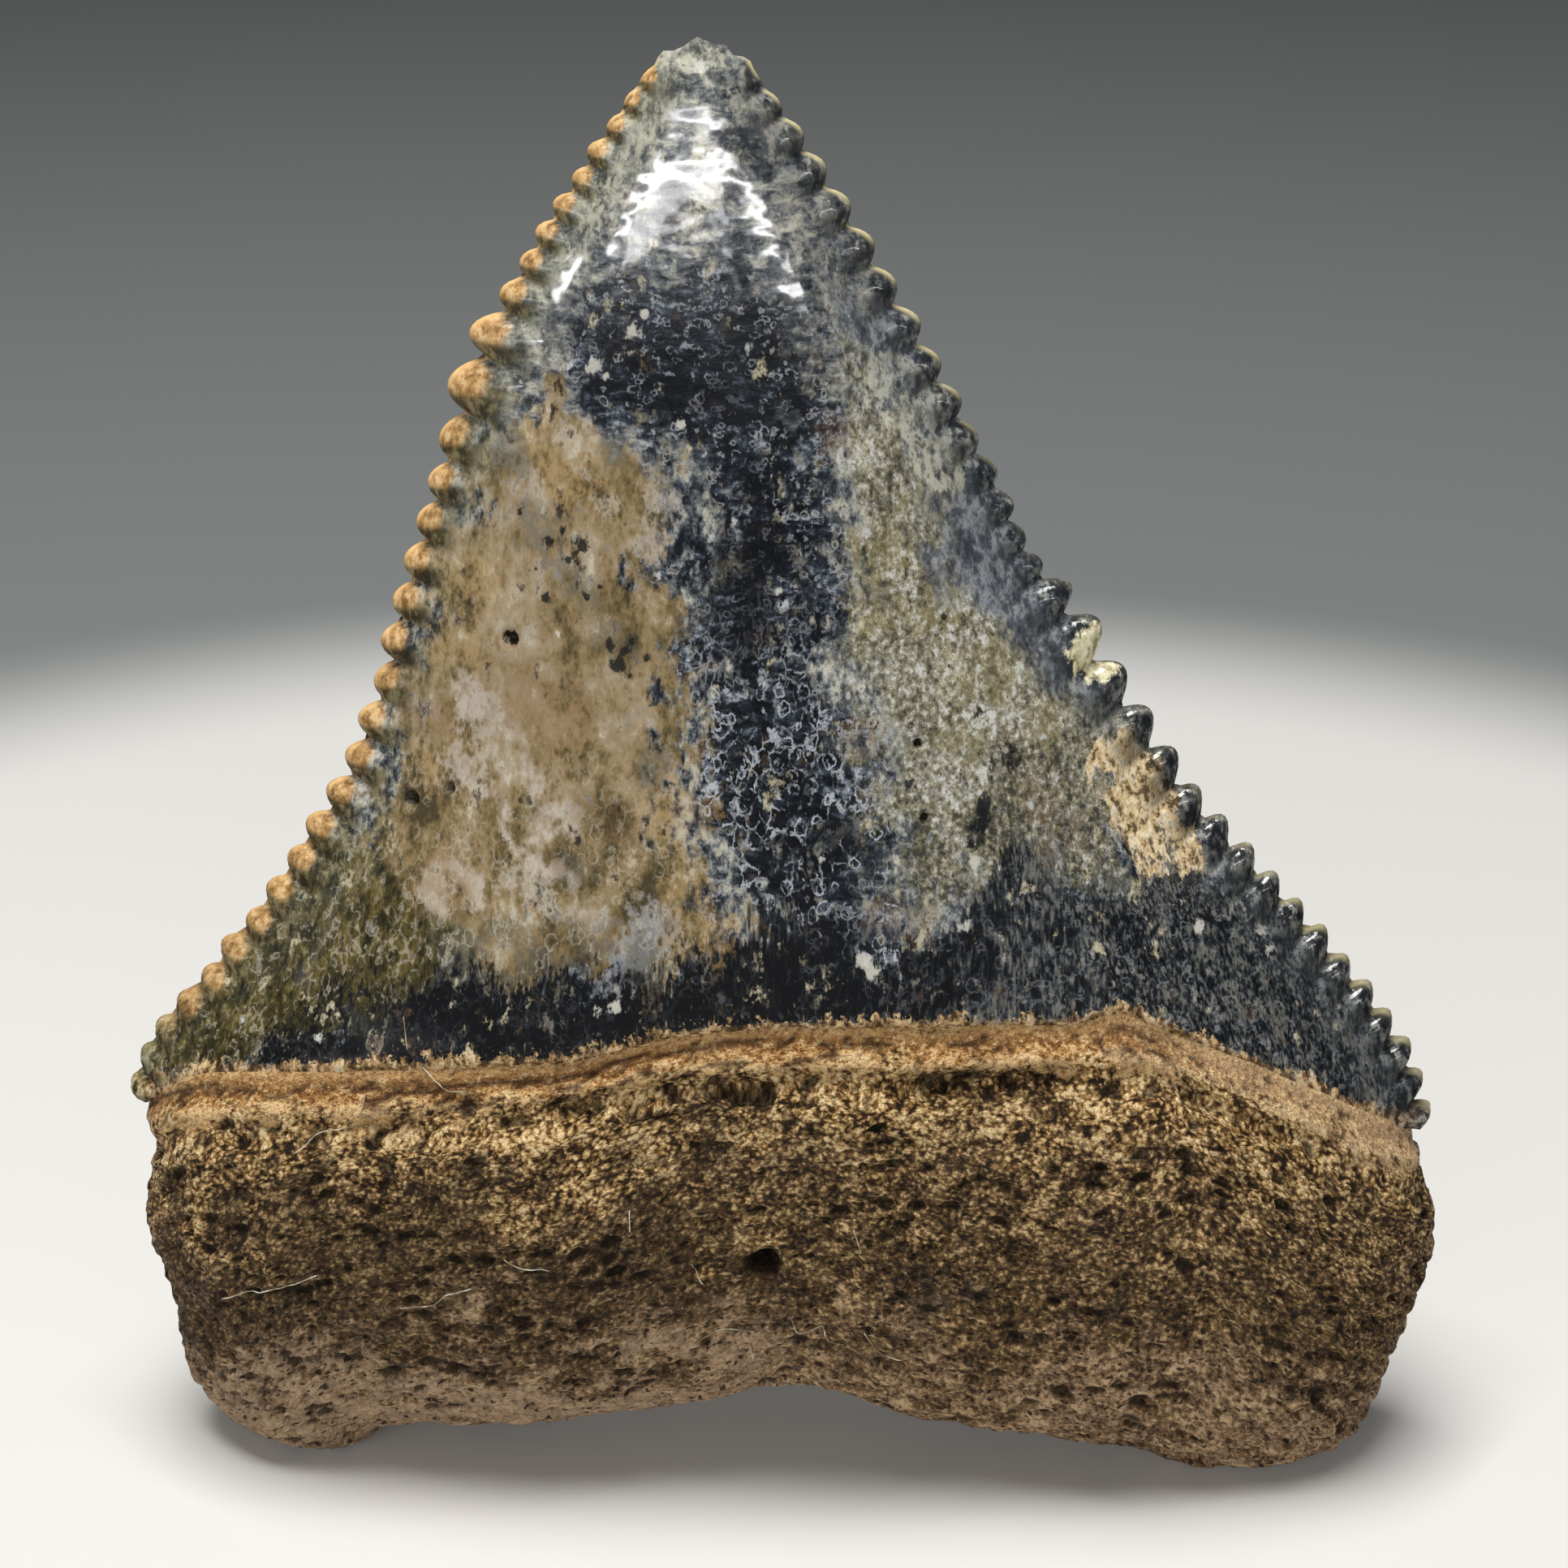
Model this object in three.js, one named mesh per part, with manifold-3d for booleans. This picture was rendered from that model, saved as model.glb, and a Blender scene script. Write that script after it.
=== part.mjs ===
// Fossil great white shark tooth, standing on its two root lobes.
// Millimetres, +Z up. The side with the swollen root faces -Y, the flatter side faces +Y.
// The tooth grew as one piece, so crown, band, root and serrations are one closed body.
import * as THREE from 'three';
import { ParametricGeometry } from 'three/addons/geometries/ParametricGeometry.js';
import { mergeVertices } from 'three/addons/utils/BufferGeometryUtils.js';
import Module from 'manifold-3d';

// Driving dimensions
const CROWN_TOP = 38.3;
const CUTTING_PLANE_Y = 1.75;
const BORDER_HALF_WIDTH = 17.4;
const BASE_HALF_WIDTH = 15.6;
const JUNCTION_ROW = 0.36;
const BACK_JUNCTION_ROW = 0.246;
const ROOT_FORWARD = 1.0;
const ROOT_TWIST = 0.03;
const BASE_ROUNDING = 3.2;
const BASE_BLUNTNESS = 2.4;
const FLOOR_CUT_DEPTH = 6;

// Side margins without their serrations, from the floor to the tip: [height, x]
const LEFT_MARGIN = [
  [-0.9, -14.0], [0.1, -15.2], [0.8, -16.1], [2.4, -16.9], [4.5, -17.1], [6.9, -17.7], [8.8, -17.35],
  [10.3, -17.4], [11.5, -17.0], [14.2, -14.8], [17.5, -12.4], [20.3, -10.8], [25.6, -9.15], [29.5, -7.8],
  [33.0, -6.2], [35.6, -4.6], [37.0, -3.75], [37.9, -3.0], [CROWN_TOP, -2.2],
];
const RIGHT_MARGIN = [
  [-0.9, 13.8], [0.1, 15.3], [0.8, 16.2], [2.6, 16.75], [4.9, 17.5], [6.6, 17.95], [8.8, 17.3],
  [10.8, 16.85], [12.4, 15.95], [15.7, 13.2], [18.7, 10.55], [22.0, 8.35], [25.2, 6.35], [28.2, 4.85],
  [31.8, 2.85], [35.7, 0.55], [37.2, -0.35], [37.9, -1.0], [CROWN_TOP, -2.2],
];

// Underside of the root, with the arch between the lobes: [x, height]
const BASE_ARCH = [
  [-15.6, -0.85], [-13.6, -0.9], [-12.3, -0.35], [-10.5, 0.45], [-6.0, 0.85], [-2.6, 1.45], [0.4, 2.2],
  [2.5, 1.5], [4.1, 1.0], [7.5, 0.5], [9.8, 0.1], [11.8, -0.7], [13.6, -0.9], [15.6, -0.85],
];

// Lower border of the enamel on the display side: [x, height]
const ENAMEL_BORDER = [
  [-17.4, 10.4], [-15.7, 11.7], [-13.5, 12.25], [-8.6, 12.9], [-6.0, 13.2], [-2.4, 14.1], [0.7, 14.3],
  [9.1, 14.15], [10.5, 14.35], [11.9, 13.55], [13.5, 12.5], [15.7, 10.7], [17.4, 9.4],
];

// Depth in front of and behind the cutting plane, from the base to the tip: [row, depth]
const FRONT_DEPTH = [
  [0, 3.4], [0.08, 4.1], [0.16, 4.75], [0.22, 5.0], [0.28, 4.9], [0.306, 4.75], [0.318, 4.3], [0.335, 4.3],
  [0.356, 4.15], [0.364, 4.3], [0.42, 4.0], [0.52, 3.55], [0.62, 3.05], [0.72, 2.5], [0.82, 1.9],
  [0.9, 1.35], [0.95, 1.0], [0.98, 0.68], [1, 0],
];
const BACK_DEPTH = [
  [0, 2.6], [0.1, 3.3], [0.2, 3.25], [0.235, 3.0], [0.246, 3.2], [0.32, 2.6], [0.42, 2.05], [0.55, 1.6],
  [0.7, 1.25], [0.85, 0.9], [0.95, 0.6], [0.98, 0.42], [1, 0],
];

// Rows and columns of the body's surface
const ROWS = [
  0, 0.012, 0.035, 0.07, 0.115, 0.165, 0.215, 0.246, 0.275, 0.306, 0.318, 0.338, 0.356, 0.364,
  0.41, 0.47, 0.54, 0.61, 0.68, 0.75, 0.81, 0.87, 0.92, 0.96, 0.985, 1,
];
const COLUMNS = 26;
const COLUMN_CROWDING = 0.55;

// Serrations: spacing along each cutting edge, counted from the tip: [number, millimetres]
const LEFT_PITCH = [[0, 0.72], [6, 0.82], [8, 1.05], [9, 1.5], [10, 1.6], [11, 1.1], [16, 1.15], [30, 0.98]];
const RIGHT_PITCH = [[0, 0.82], [5, 1.15], [12, 0.95], [14, 0.85], [15, 1.5], [17, 1.45], [21, 1.08], [31, 1.02]];
const LEFT_COUNT = 31;
const RIGHT_COUNT = 32;
const EDGE_START = 37.7;

// Size of a serration, as shares of its spacing
const KNOB_REACH = 0.56;
const KNOB_WIDTH = 0.44;
const KNOB_DEPTH = 0.36;
const KNOB_TAPER = 0.38;
const KNOB_LEAN = 0.3;
const TIP_KNOBS = [[-2.75, 37.95], [-2.2, 38.3], [-1.25, 38.0], [-0.75, 37.65]];
const TIP_KNOB_RADIUS = 0.4;

// Pits: the feeding hole in the middle of the root, and hollows under the band: [x, height, width]
const FORAMEN = { x: -0.55, z: 8.05, radius: 0.42, depth: 1.6 };
const HOLLOWS = [
  [-9.0, 11.55, 1.7], [-5.6, 11.75, 1.5], [-3.4, 11.6, 1.3], [-0.9, 12.15, 1.8], [4.4, 12.5, 1.6], [7.6, 12.6, 1.4],
];
const HOLLOW_HEIGHT = 0.34;
const HOLLOW_DEPTH = 0.8;

const wasm = await Module();
wasm.setup();

function slopeAt(points, i) {
  const slopes = [];
  if (i > 0) slopes.push((points[i][1] - points[i - 1][1]) / (points[i][0] - points[i - 1][0]));
  if (i < points.length - 1) slopes.push((points[i + 1][1] - points[i][1]) / (points[i + 1][0] - points[i][0]));
  if (slopes.length === 1) return slopes[0];
  const [before, after] = slopes;
  return before * after > 0 ? (2 * before * after) / (before + after) : 0;
}

// Smooth value between [key, value] points, without overshoot
function valueAt(points, key) {
  const last = points.length - 1;
  const at = THREE.MathUtils.clamp(key, points[0][0], points[last][0]);
  let i = 0;
  while (i < last - 1 && at > points[i + 1][0]) i += 1;
  const [x0, y0] = points[i];
  const [x1, y1] = points[i + 1];
  const span = x1 - x0;
  const f = (at - x0) / span;
  const g = 1 - f;
  return y0 * g * g * (1 + 2 * f) + y1 * f * f * (1 + 2 * g)
    + span * f * g * (g * slopeAt(points, i) - f * slopeAt(points, i + 1));
}

// Gentle swellings and sags of the root's surface
function rootSwell(x, z) {
  const broad = Math.sin(0.62 * x + 0.5 * z + 0.6) * Math.sin(0.55 * z - 0.18 * x + 1.1);
  const small = Math.sin(1.7 * x - 0.9 * z) * Math.sin(1.3 * z + 0.7 * x + 0.4);
  return 0.17 * broad + 0.07 * small;
}

// Slanting steps worn into the end of the right lobe
function lobeSteps(x, z) {
  const onLobe = THREE.MathUtils.smoothstep(x, 12.5, 15.5) * (1 - THREE.MathUtils.smoothstep(z, 7.5, 10));
  const phase = 0.42 * (x + 0.75 * z);
  return 0.22 * onLobe * (phase - Math.floor(phase) - 0.5);
}

// Point of the body: across runs from the left margin to the right one, row from base to tip
function bodyPoint(front, across, row) {
  const u = 2 * across - 1;
  const base = valueAt(BASE_ARCH, u * BASE_HALF_WIDTH);
  const border = valueAt(ENAMEL_BORDER, u * BORDER_HALF_WIDTH);
  const z = row < JUNCTION_ROW
    ? THREE.MathUtils.lerp(base, border, row / JUNCTION_ROW)
    : THREE.MathUtils.lerp(border, CROWN_TOP, (row - JUNCTION_ROW) / (1 - JUNCTION_ROW));
  const x = THREE.MathUtils.lerp(valueAt(LEFT_MARGIN, z), valueAt(RIGHT_MARGIN, z), across);
  const junctionRow = front ? JUNCTION_ROW : BACK_JUNCTION_ROW;
  const crown = THREE.MathUtils.smoothstep(row, junctionRow - 0.06, junctionRow + 0.05);
  const lens = Math.pow(Math.max(0, 1 - Math.abs(u) ** 2.2), 0.9);
  const slab = Math.sqrt(Math.max(0, 1 - Math.abs(u) ** 4.5));
  const rise = 1 - Math.min((z - base) / BASE_ROUNDING, 1);
  const rounding = Math.sqrt(Math.max(0, 1 - rise ** BASE_BLUNTNESS));
  const share = THREE.MathUtils.lerp(slab, lens, crown) * rounding;
  const swell = (1 - crown) * (rootSwell(x, z) + (front ? lobeSteps(x, z) : 0));
  const depth = (valueAt(front ? FRONT_DEPTH : BACK_DEPTH, row) + swell) * share;
  const inRoot = 1 - THREE.MathUtils.smoothstep(row, 0.1, JUNCTION_ROW + 0.04);
  const middle = CUTTING_PLANE_Y - inRoot * (ROOT_FORWARD + ROOT_TWIST * x);
  return new THREE.Vector3(x, front ? middle - depth : middle + depth, z);
}

// Merged, closed geometry without collapsed triangles
function closedGeometry(geometry) {
  geometry.deleteAttribute('normal');
  geometry.deleteAttribute('uv');
  const merged = mergeVertices(geometry, 1e-4);
  const index = merged.index.array;
  const kept = [];
  for (let i = 0; i < index.length; i += 3) {
    const [a, b, c] = index.subarray(i, i + 3);
    if (a !== b && b !== c && c !== a) kept.push(a, b, c);
  }
  merged.setIndex(kept);
  return merged;
}

function solidOf(geometry) {
  const closed = closedGeometry(geometry);
  return new wasm.Manifold(new wasm.Mesh({
    numProp: 3,
    vertProperties: new Float32Array(closed.attributes.position.array),
    triVerts: new Uint32Array(closed.index.array),
  }));
}

function geometryOf(solid) {
  const mesh = solid.getMesh();
  const geometry = new THREE.BufferGeometry();
  geometry.setAttribute('position', new THREE.Float32BufferAttribute(mesh.vertProperties, 3));
  geometry.setIndex(new THREE.BufferAttribute(mesh.triVerts, 1));
  geometry.computeVertexNormals();
  return geometry;
}

function makeBody() {
  const stacks = ROWS.length - 1;
  const ring = (around, up, target) => {
    const step = Math.round(around * 2 * COLUMNS);
    const front = step <= COLUMNS;
    const column = front ? step : 2 * COLUMNS - step;
    const even = column / COLUMNS;
    const across = THREE.MathUtils.lerp(even, 0.5 - 0.5 * Math.cos(Math.PI * even), COLUMN_CROWDING);
    target.copy(bodyPoint(front, across, ROWS[Math.round(up * stacks)]));
  };
  return solidOf(new ParametricGeometry(ring, 2 * COLUMNS, stacks));
}

// Rounded knob on the cutting edge, narrower at its end, which leans towards the tip
function makeKnob(x, z, side, outward, size) {
  const knob = new THREE.SphereGeometry(1, 6, 4);
  knob.rotateZ(-Math.PI / 2);
  const points = knob.attributes.position;
  for (let i = 0; i < points.count; i += 1) {
    const reach = points.getX(i);
    const taper = 1 - KNOB_TAPER * reach;
    const lean = side * KNOB_LEAN * (reach + 0.4);
    points.setXYZ(i, reach, points.getY(i) * taper, points.getZ(i) * taper + lean);
  }
  knob.scale(KNOB_REACH * size, KNOB_DEPTH * size, KNOB_WIDTH * size);
  knob.rotateY(-Math.atan2(outward.y, outward.x));
  knob.translate(x, CUTTING_PLANE_Y, z);
  return solidOf(knob);
}

function makeSerrations(margin, side, pitchPoints, count) {
  const knobs = [];
  let z = EDGE_START;
  for (let number = 0; number < count; number += 1) {
    const pitch = valueAt(pitchPoints, number);
    const slope = (valueAt(margin, z - 0.3) - valueAt(margin, z + 0.3)) / -0.6;
    const along = new THREE.Vector2(slope, 1).normalize();
    const outward = new THREE.Vector2(side * along.y, -side * along.x);
    knobs.push(makeKnob(valueAt(margin, z), z, side, outward, pitch));
    z -= pitch * along.y;
  }
  return knobs;
}

function makeTipKnobs() {
  return TIP_KNOBS.map(([x, z]) => {
    const knob = new THREE.SphereGeometry(TIP_KNOB_RADIUS, 6, 4);
    knob.translate(x, CUTTING_PLANE_Y, z);
    return solidOf(knob);
  });
}

function frontSurfaceY(x, z) {
  const across = (x - valueAt(LEFT_MARGIN, z)) / (valueAt(RIGHT_MARGIN, z) - valueAt(LEFT_MARGIN, z));
  const u = 2 * across - 1;
  const base = valueAt(BASE_ARCH, u * BASE_HALF_WIDTH);
  const row = (JUNCTION_ROW * (z - base)) / (valueAt(ENAMEL_BORDER, u * BORDER_HALF_WIDTH) - base);
  return bodyPoint(true, across, row).y;
}

function makeForamen() {
  const hole = new THREE.CylinderGeometry(FORAMEN.radius, FORAMEN.radius * 0.5, 2 * FORAMEN.depth, 8);
  hole.translate(FORAMEN.x, frontSurfaceY(FORAMEN.x, FORAMEN.z), FORAMEN.z);
  return solidOf(hole);
}

function makeHollows() {
  return HOLLOWS.map(([x, z, width]) => {
    const hollow = new THREE.SphereGeometry(1, 8, 5);
    hollow.scale(width / 2, HOLLOW_DEPTH, HOLLOW_HEIGHT);
    hollow.translate(x, frontSurfaceY(x, z), z);
    return solidOf(hollow);
  });
}

// Everything under the floor plane, which leaves a small worn flat on each lobe
function makeFloorCut() {
  const cut = new THREE.BoxGeometry(60, 40, FLOOR_CUT_DEPTH);
  cut.translate(0, 0, -FLOOR_CUT_DEPTH / 2);
  return solidOf(cut);
}

function makeTooth() {
  const grown = [
    ...makeSerrations(LEFT_MARGIN, -1, LEFT_PITCH, LEFT_COUNT),
    ...makeSerrations(RIGHT_MARGIN, 1, RIGHT_PITCH, RIGHT_COUNT),
    ...makeTipKnobs(),
  ];
  const worn = [makeForamen(), ...makeHollows(), makeFloorCut()];
  const whole = grown.reduce((solid, knob) => solid.add(knob), makeBody());
  return worn.reduce((solid, hollow) => solid.subtract(hollow), whole);
}

const toothMaterial = new THREE.MeshStandardMaterial({ color: 0x7a6a52, roughness: 0.45, metalness: 0 });
const tooth = new THREE.Mesh(geometryOf(makeTooth()), toothMaterial);
tooth.name = 'tooth';

const model = new THREE.Group();
model.add(tooth);
export default model;
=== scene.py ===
import math
import bpy
import numpy as np
from mathutils import Matrix, Vector, noise
from types import SimpleNamespace


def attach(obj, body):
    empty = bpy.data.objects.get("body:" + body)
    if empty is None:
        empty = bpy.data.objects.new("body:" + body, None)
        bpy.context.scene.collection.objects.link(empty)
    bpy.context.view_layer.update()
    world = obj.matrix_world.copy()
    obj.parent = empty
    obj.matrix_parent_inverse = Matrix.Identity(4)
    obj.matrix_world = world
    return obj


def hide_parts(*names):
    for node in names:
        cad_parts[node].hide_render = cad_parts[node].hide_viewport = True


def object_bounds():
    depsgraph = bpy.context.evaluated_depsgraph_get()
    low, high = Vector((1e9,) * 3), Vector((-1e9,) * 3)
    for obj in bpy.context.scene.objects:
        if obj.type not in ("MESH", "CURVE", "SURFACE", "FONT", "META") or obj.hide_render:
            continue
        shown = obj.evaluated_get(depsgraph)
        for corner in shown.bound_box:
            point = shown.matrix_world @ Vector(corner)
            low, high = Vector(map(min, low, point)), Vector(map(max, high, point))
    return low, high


# Fossil great white shark tooth on its two root lobes: a glossy, mottled crown with serrated
# edges, and a porous root. Shapes are worked out in millimetres and stored in metres.
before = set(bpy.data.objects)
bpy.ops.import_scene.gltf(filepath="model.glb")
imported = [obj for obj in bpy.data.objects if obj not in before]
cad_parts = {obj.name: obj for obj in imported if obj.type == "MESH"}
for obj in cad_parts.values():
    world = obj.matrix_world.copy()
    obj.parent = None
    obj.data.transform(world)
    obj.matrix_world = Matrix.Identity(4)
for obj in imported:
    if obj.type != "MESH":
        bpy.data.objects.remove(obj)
cad_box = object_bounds()
MM = 0.001

# Driving dimensions in millimetres, as in the part's source
CROWN_TOP = 38.5
CROWN_HEIGHT = 38.0
CUTTING_PLANE_Y = 1.75
BORDER_HALF_WIDTH = 17.4
BASE_HALF_WIDTH = 15.6
JUNCTION_ROW = 0.36
BACK_JUNCTION_ROW = 0.246
BACK_BORDER_RISE = (0.62, 0.98)
ROOT_FORWARD = 1.0
ROOT_TWIST = 0.03
BASE_ROUNDING = 3.2
BASE_BLUNTNESS = 2.4
CROWN_LENS = (2.2, 0.9)
ROOT_SLAB_BLUNTNESS = 4.5
LEFT_MARGIN = [
    (-0.9, -14.0), (0.1, -15.2), (0.8, -16.1), (2.4, -16.9), (4.5, -17.1), (6.9, -17.7), (8.8, -17.35),
    (10.3, -17.4), (11.5, -17.0), (14.2, -14.8), (17.5, -12.4), (20.3, -10.8), (25.6, -9.15), (29.5, -7.8),
    (33.0, -6.2), (35.6, -4.6), (37.0, -3.75), (37.7, -3.3), (38.15, -2.8), (38.38, -2.42),
    (CROWN_TOP, -2.05),
]
RIGHT_MARGIN = [
    (-0.9, 13.8), (0.1, 15.3), (0.8, 16.2), (2.6, 16.75), (4.9, 17.5), (6.6, 17.95), (8.8, 17.3),
    (10.8, 16.85), (12.4, 15.95), (15.7, 13.2), (18.7, 10.55), (22.0, 8.35), (25.2, 6.35), (28.2, 4.85),
    (31.8, 2.85), (35.7, 0.55), (37.2, -0.35), (37.8, -0.8), (38.15, -1.25), (38.38, -1.68),
    (CROWN_TOP, -2.05),
]
BASE_ARCH = [
    (-15.6, -0.85), (-13.6, -0.9), (-12.3, -0.35), (-10.5, 0.45), (-6.0, 0.85), (-2.6, 1.45), (0.4, 2.2),
    (2.5, 1.5), (4.1, 1.0), (7.5, 0.5), (9.8, 0.1), (11.8, -0.7), (13.6, -0.9), (15.6, -0.85),
]
ENAMEL_BORDER = [
    (-17.4, 10.4), (-15.7, 11.7), (-13.5, 12.25), (-8.6, 12.9), (-6.0, 13.2), (-2.4, 14.1), (0.7, 14.3),
    (9.1, 14.15), (10.5, 14.35), (11.9, 13.55), (13.5, 12.5), (15.7, 10.7), (17.4, 9.4),
]
FRONT_DEPTH = [
    (0, 3.4), (0.08, 4.1), (0.16, 4.75), (0.22, 5.0), (0.28, 4.9), (0.306, 4.75), (0.318, 4.3), (0.335, 4.3),
    (0.356, 4.15), (0.364, 4.3), (0.42, 4.0), (0.52, 3.55), (0.62, 3.0), (0.72, 2.46), (0.82, 1.905),
    (0.86, 1.665), (0.9, 1.4), (0.925, 1.21), (0.95, 0.98), (0.98, 0.68), (1, 0),
]
BACK_DEPTH = [
    (0, 2.6), (0.1, 3.3), (0.2, 3.25), (0.235, 3.0), (0.246, 3.2), (0.32, 2.6), (0.42, 2.05), (0.55, 1.6),
    (0.7, 1.25), (0.85, 0.9), (0.95, 0.6), (0.98, 0.42), (1, 0),
]
FRONT_THINNING = [(0.30, 0), (0.33, 0.17), (0.364, 0.52), (0.44, 0.76), (0.52, 0.93), (0.6, 1)]
BACK_THINNING = [(0.186, 0), (0.22, 0.23), (0.25, 0.61), (0.28, 0.94), (0.296, 1)]
LEFT_PITCH = [(0, 0.72), (6, 0.82), (8, 1.05), (9, 1.5), (10, 1.6), (11, 1.1), (16, 1.15), (30, 0.98)]
RIGHT_PITCH = [(0, 0.82), (5, 1.15), (12, 0.95), (14, 0.85), (15, 1.5), (17, 1.45), (21, 1.08), (31, 1.02)]
LEFT_COUNT = 31
RIGHT_COUNT = 32
EDGE_START = 37.7

# Sizes of a serration as shares of its spacing: relief, stem (left, right), fade, rounding and rim
KNOB_RELIEF = 0.15
STEM_LENGTH = (0.75, 0.5)
KNOB_FADE = 0.42
KNOB_ROUNDING = 0.25
RIM_WIDTH = 0.11

# How far each serration reaches out and leans, as shares of its spacing, by its number from the tip
LEFT_REACH = [(0, 0.12), (2, 0.32), (5, 0.46), (31, 0.48)]
RIGHT_REACH = [(0, 0.1), (2, 0.26), (5, 0.34), (13, 0.34), (16, 0.52), (31, 0.54)]
LEFT_LEAN = [(0, 0.0), (8, -0.12), (20, -0.06), (31, 0.08)]
RIGHT_LEAN = [(0, 0.0), (12, -0.08), (17, 0.12), (22, 0.22), (31, 0.24)]
LEFT_EDGE = (LEFT_MARGIN, -1, LEFT_PITCH, LEFT_COUNT, LEFT_REACH, LEFT_LEAN, 0.75)
RIGHT_EDGE = (RIGHT_MARGIN, 1, RIGHT_PITCH, RIGHT_COUNT, RIGHT_REACH, RIGHT_LEAN, 1.0)
TIP_KNOBS = [(-2.85, 38.15), (-2.1, 38.5), (-1.5, 38.3), (-1.0, 38.0)]
TIP_CENTRE = (-1.9, 36.8)
TIP_KNOB_SWELL = 0.2
TIP_KNOB_RADIUS = 0.22

# Low relief in millimetres: waves, dents, pits and folds of the crown, swells and pores of the root
CROWN_WAVE = 0.035
TIP_WAVE_LOSS = 0.02
CROWN_DENT = 0.006
ENAMEL_PIT_DEPTH = 0.3
BACK_FOLD = 0.07
ROOT_LUMP = 0.085
ROOT_GRIT = 0.05
PORE_DEPTH = 0.24
BAND_STREAK = 0.03
LEDGE_HEIGHT = 0.12
GUTTER_DEPTH = 0.22
CRACK_DEPTH = 0.09
LOBE_RIDGE = 0.05

# Height of the root along its grain
FLOW_RISE = 12.5

# Pits of the root: the feeding hole, and hollows under the band (x, height, width)
FORAMEN = (-0.55, 8.05)
FORAMEN_RADIUS = 0.38
FORAMEN_DEPTH = 1.4
HOLLOWS = [
    (-8.5, 11.95, 1.7), (-5.5, 12.1, 1.5), (-3.7, 12.0, 1.3),
    (-0.95, 12.55, 1.4), (4.1, 12.85, 1.6), (7.0, 12.95, 1.4),
]
BAND_HEIGHT = 1.05
ROOT_STAINS = [(3.9, 7.0, 0.5), (4.7, 7.3, 0.3), (-0.75, 11.9, 0.3), (-5.6, 9.0, 0.15), (9.0, 6.4, 0.1)]
HOLLOW_HEIGHT = 0.24
HOLLOW_DEPTH = 0.36

# Stains of the enamel: outlines and lines, x and height
OCHRE_OUTLINE = [
    (-6.95, 30.1), (-5.3, 30.0), (-3.9, 29.7), (-2.7, 27.2), (-2.5, 24.2), (-3.0, 20.0), (-1.4, 17.3),
    (-2.6, 15.5), (-7.7, 15.0), (-11.5, 14.4), (-12.6, 15.4), (-10.9, 18.9), (-9.75, 22.1), (-9.0, 25.0),
    (-8.3, 27.5),
]
OLIVE_OUTLINE = [
    (1.2, 32.3), (2.6, 32.0), (3.9, 29.2), (5.2, 26.4), (6.8, 23.4), (8.8, 20.9), (9.3, 18.6), (7.0, 17.6),
    (3.4, 17.9), (2.1, 20.1), (1.7, 25.1),
]
MOSS_OUTLINE = [
    (-12.8, 18.6), (-11.3, 19.0), (-10.3, 17.4), (-8.5, 16.4), (-8.0, 15.2), (-9.5, 14.4), (-11.5, 13.4),
    (-13.0, 12.9), (-14.4, 11.9), (-16.0, 10.7), (-18.4, 10.0), (-18.4, 12.4), (-16.8, 13.9), (-15.4, 15.4),
    (-14.2, 16.8),
]
SLATE_EDGE = [(21.0, 0.3), (22.5, 1.3), (24.5, 2.0), (28.0, 1.7), (31.0, 1.3), (34.0, 0.7)]
STRIPE_LEFT = [
    (17.0, -0.6), (20.1, -1.75), (22.2, -2.3), (26.2, -2.1), (28.6, -2.5), (30.2, -4.6), (32.0, -5.4),
    (34.5, -2.4),
]
STRIPE_RIGHT = [(17.0, 2.6), (18.9, 2.1), (22.1, 1.5), (26.1, 1.1), (28.9, 0.9), (31.0, 0.9), (34.5, 0.2)]
STRIPE_TOP = 33.0
BAND_TOP = [
    (-17.4, 10.5), (-15.3, 11.8), (-13.6, 12.7), (-11.2, 14.1), (-8.5, 15.0), (-5.5, 15.4), (-2.8, 15.8),
    (-1.4, 16.6), (-0.1, 17.1), (2.8, 16.0), (4.4, 16.7), (5.7, 18.7), (7.0, 17.9), (9.15, 17.3),
    (11.4, 16.9), (13.8, 16.4),
]
CREAM_OUTLINE = [
    (7.7, 20.5), (8.7, 21.0), (9.7, 19.9), (10.6, 18.7), (11.2, 17.4), (10.2, 16.7), (8.7, 17.9),
]
DRIP_OUTLINE = [
    (-3.4, 18.2), (-2.5, 17.2), (-3.2, 16.2), (-4.4, 15.3), (-4.8, 15.4), (-4.4, 16.4), (-4.1, 17.3),
]
LILAC_PATHS = [
    [(-7.7, 22.9), (-7.6, 22.3), (-8.2, 21.6), (-7.4, 21.9), (-6.7, 21.5), (-6.4, 20.8), (-6.2, 20.0)],
    [(-8.3, 22.3), (-7.6, 22.3)],
    [(-7.8, 19.9), (-7.2, 19.2), (-6.5, 18.9), (-5.5, 19.7)],
    [(-9.2, 17.0), (-8.6, 17.6), (-7.9, 17.3)],
    [(-6.2, 18.6), (-5.4, 18.0), (-5.0, 17.2)],
    [(-7.0, 28.6), (-6.4, 28.9)],
]
BLACK_SPECKS = [
    (-5.8, 26.55, 0.17), (-4.97, 26.6, 0.16), (-6.0, 25.15, 0.15), (-5.5, 26.95, 0.1), (-5.35, 26.2, 0.08),
    (-4.9, 25.3, 0.1), (-4.55, 25.6, 0.08), (-4.1, 23.7, 0.24), (-4.35, 24.15, 0.16), (-3.75, 24.3, 0.16),
    (-3.85, 23.4, 0.12), (-4.0, 24.0, 0.16), (-3.4, 23.9, 0.1), (-2.2, 25.6, 0.12), (-6.6, 27.2, 0.08),
    (3.1, 20.6, 0.14), (4.0, 24.6, 0.1), (5.1, 19.9, 0.3), (5.0, 19.4, 0.22), (4.75, 18.9, 0.14),
]
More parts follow.
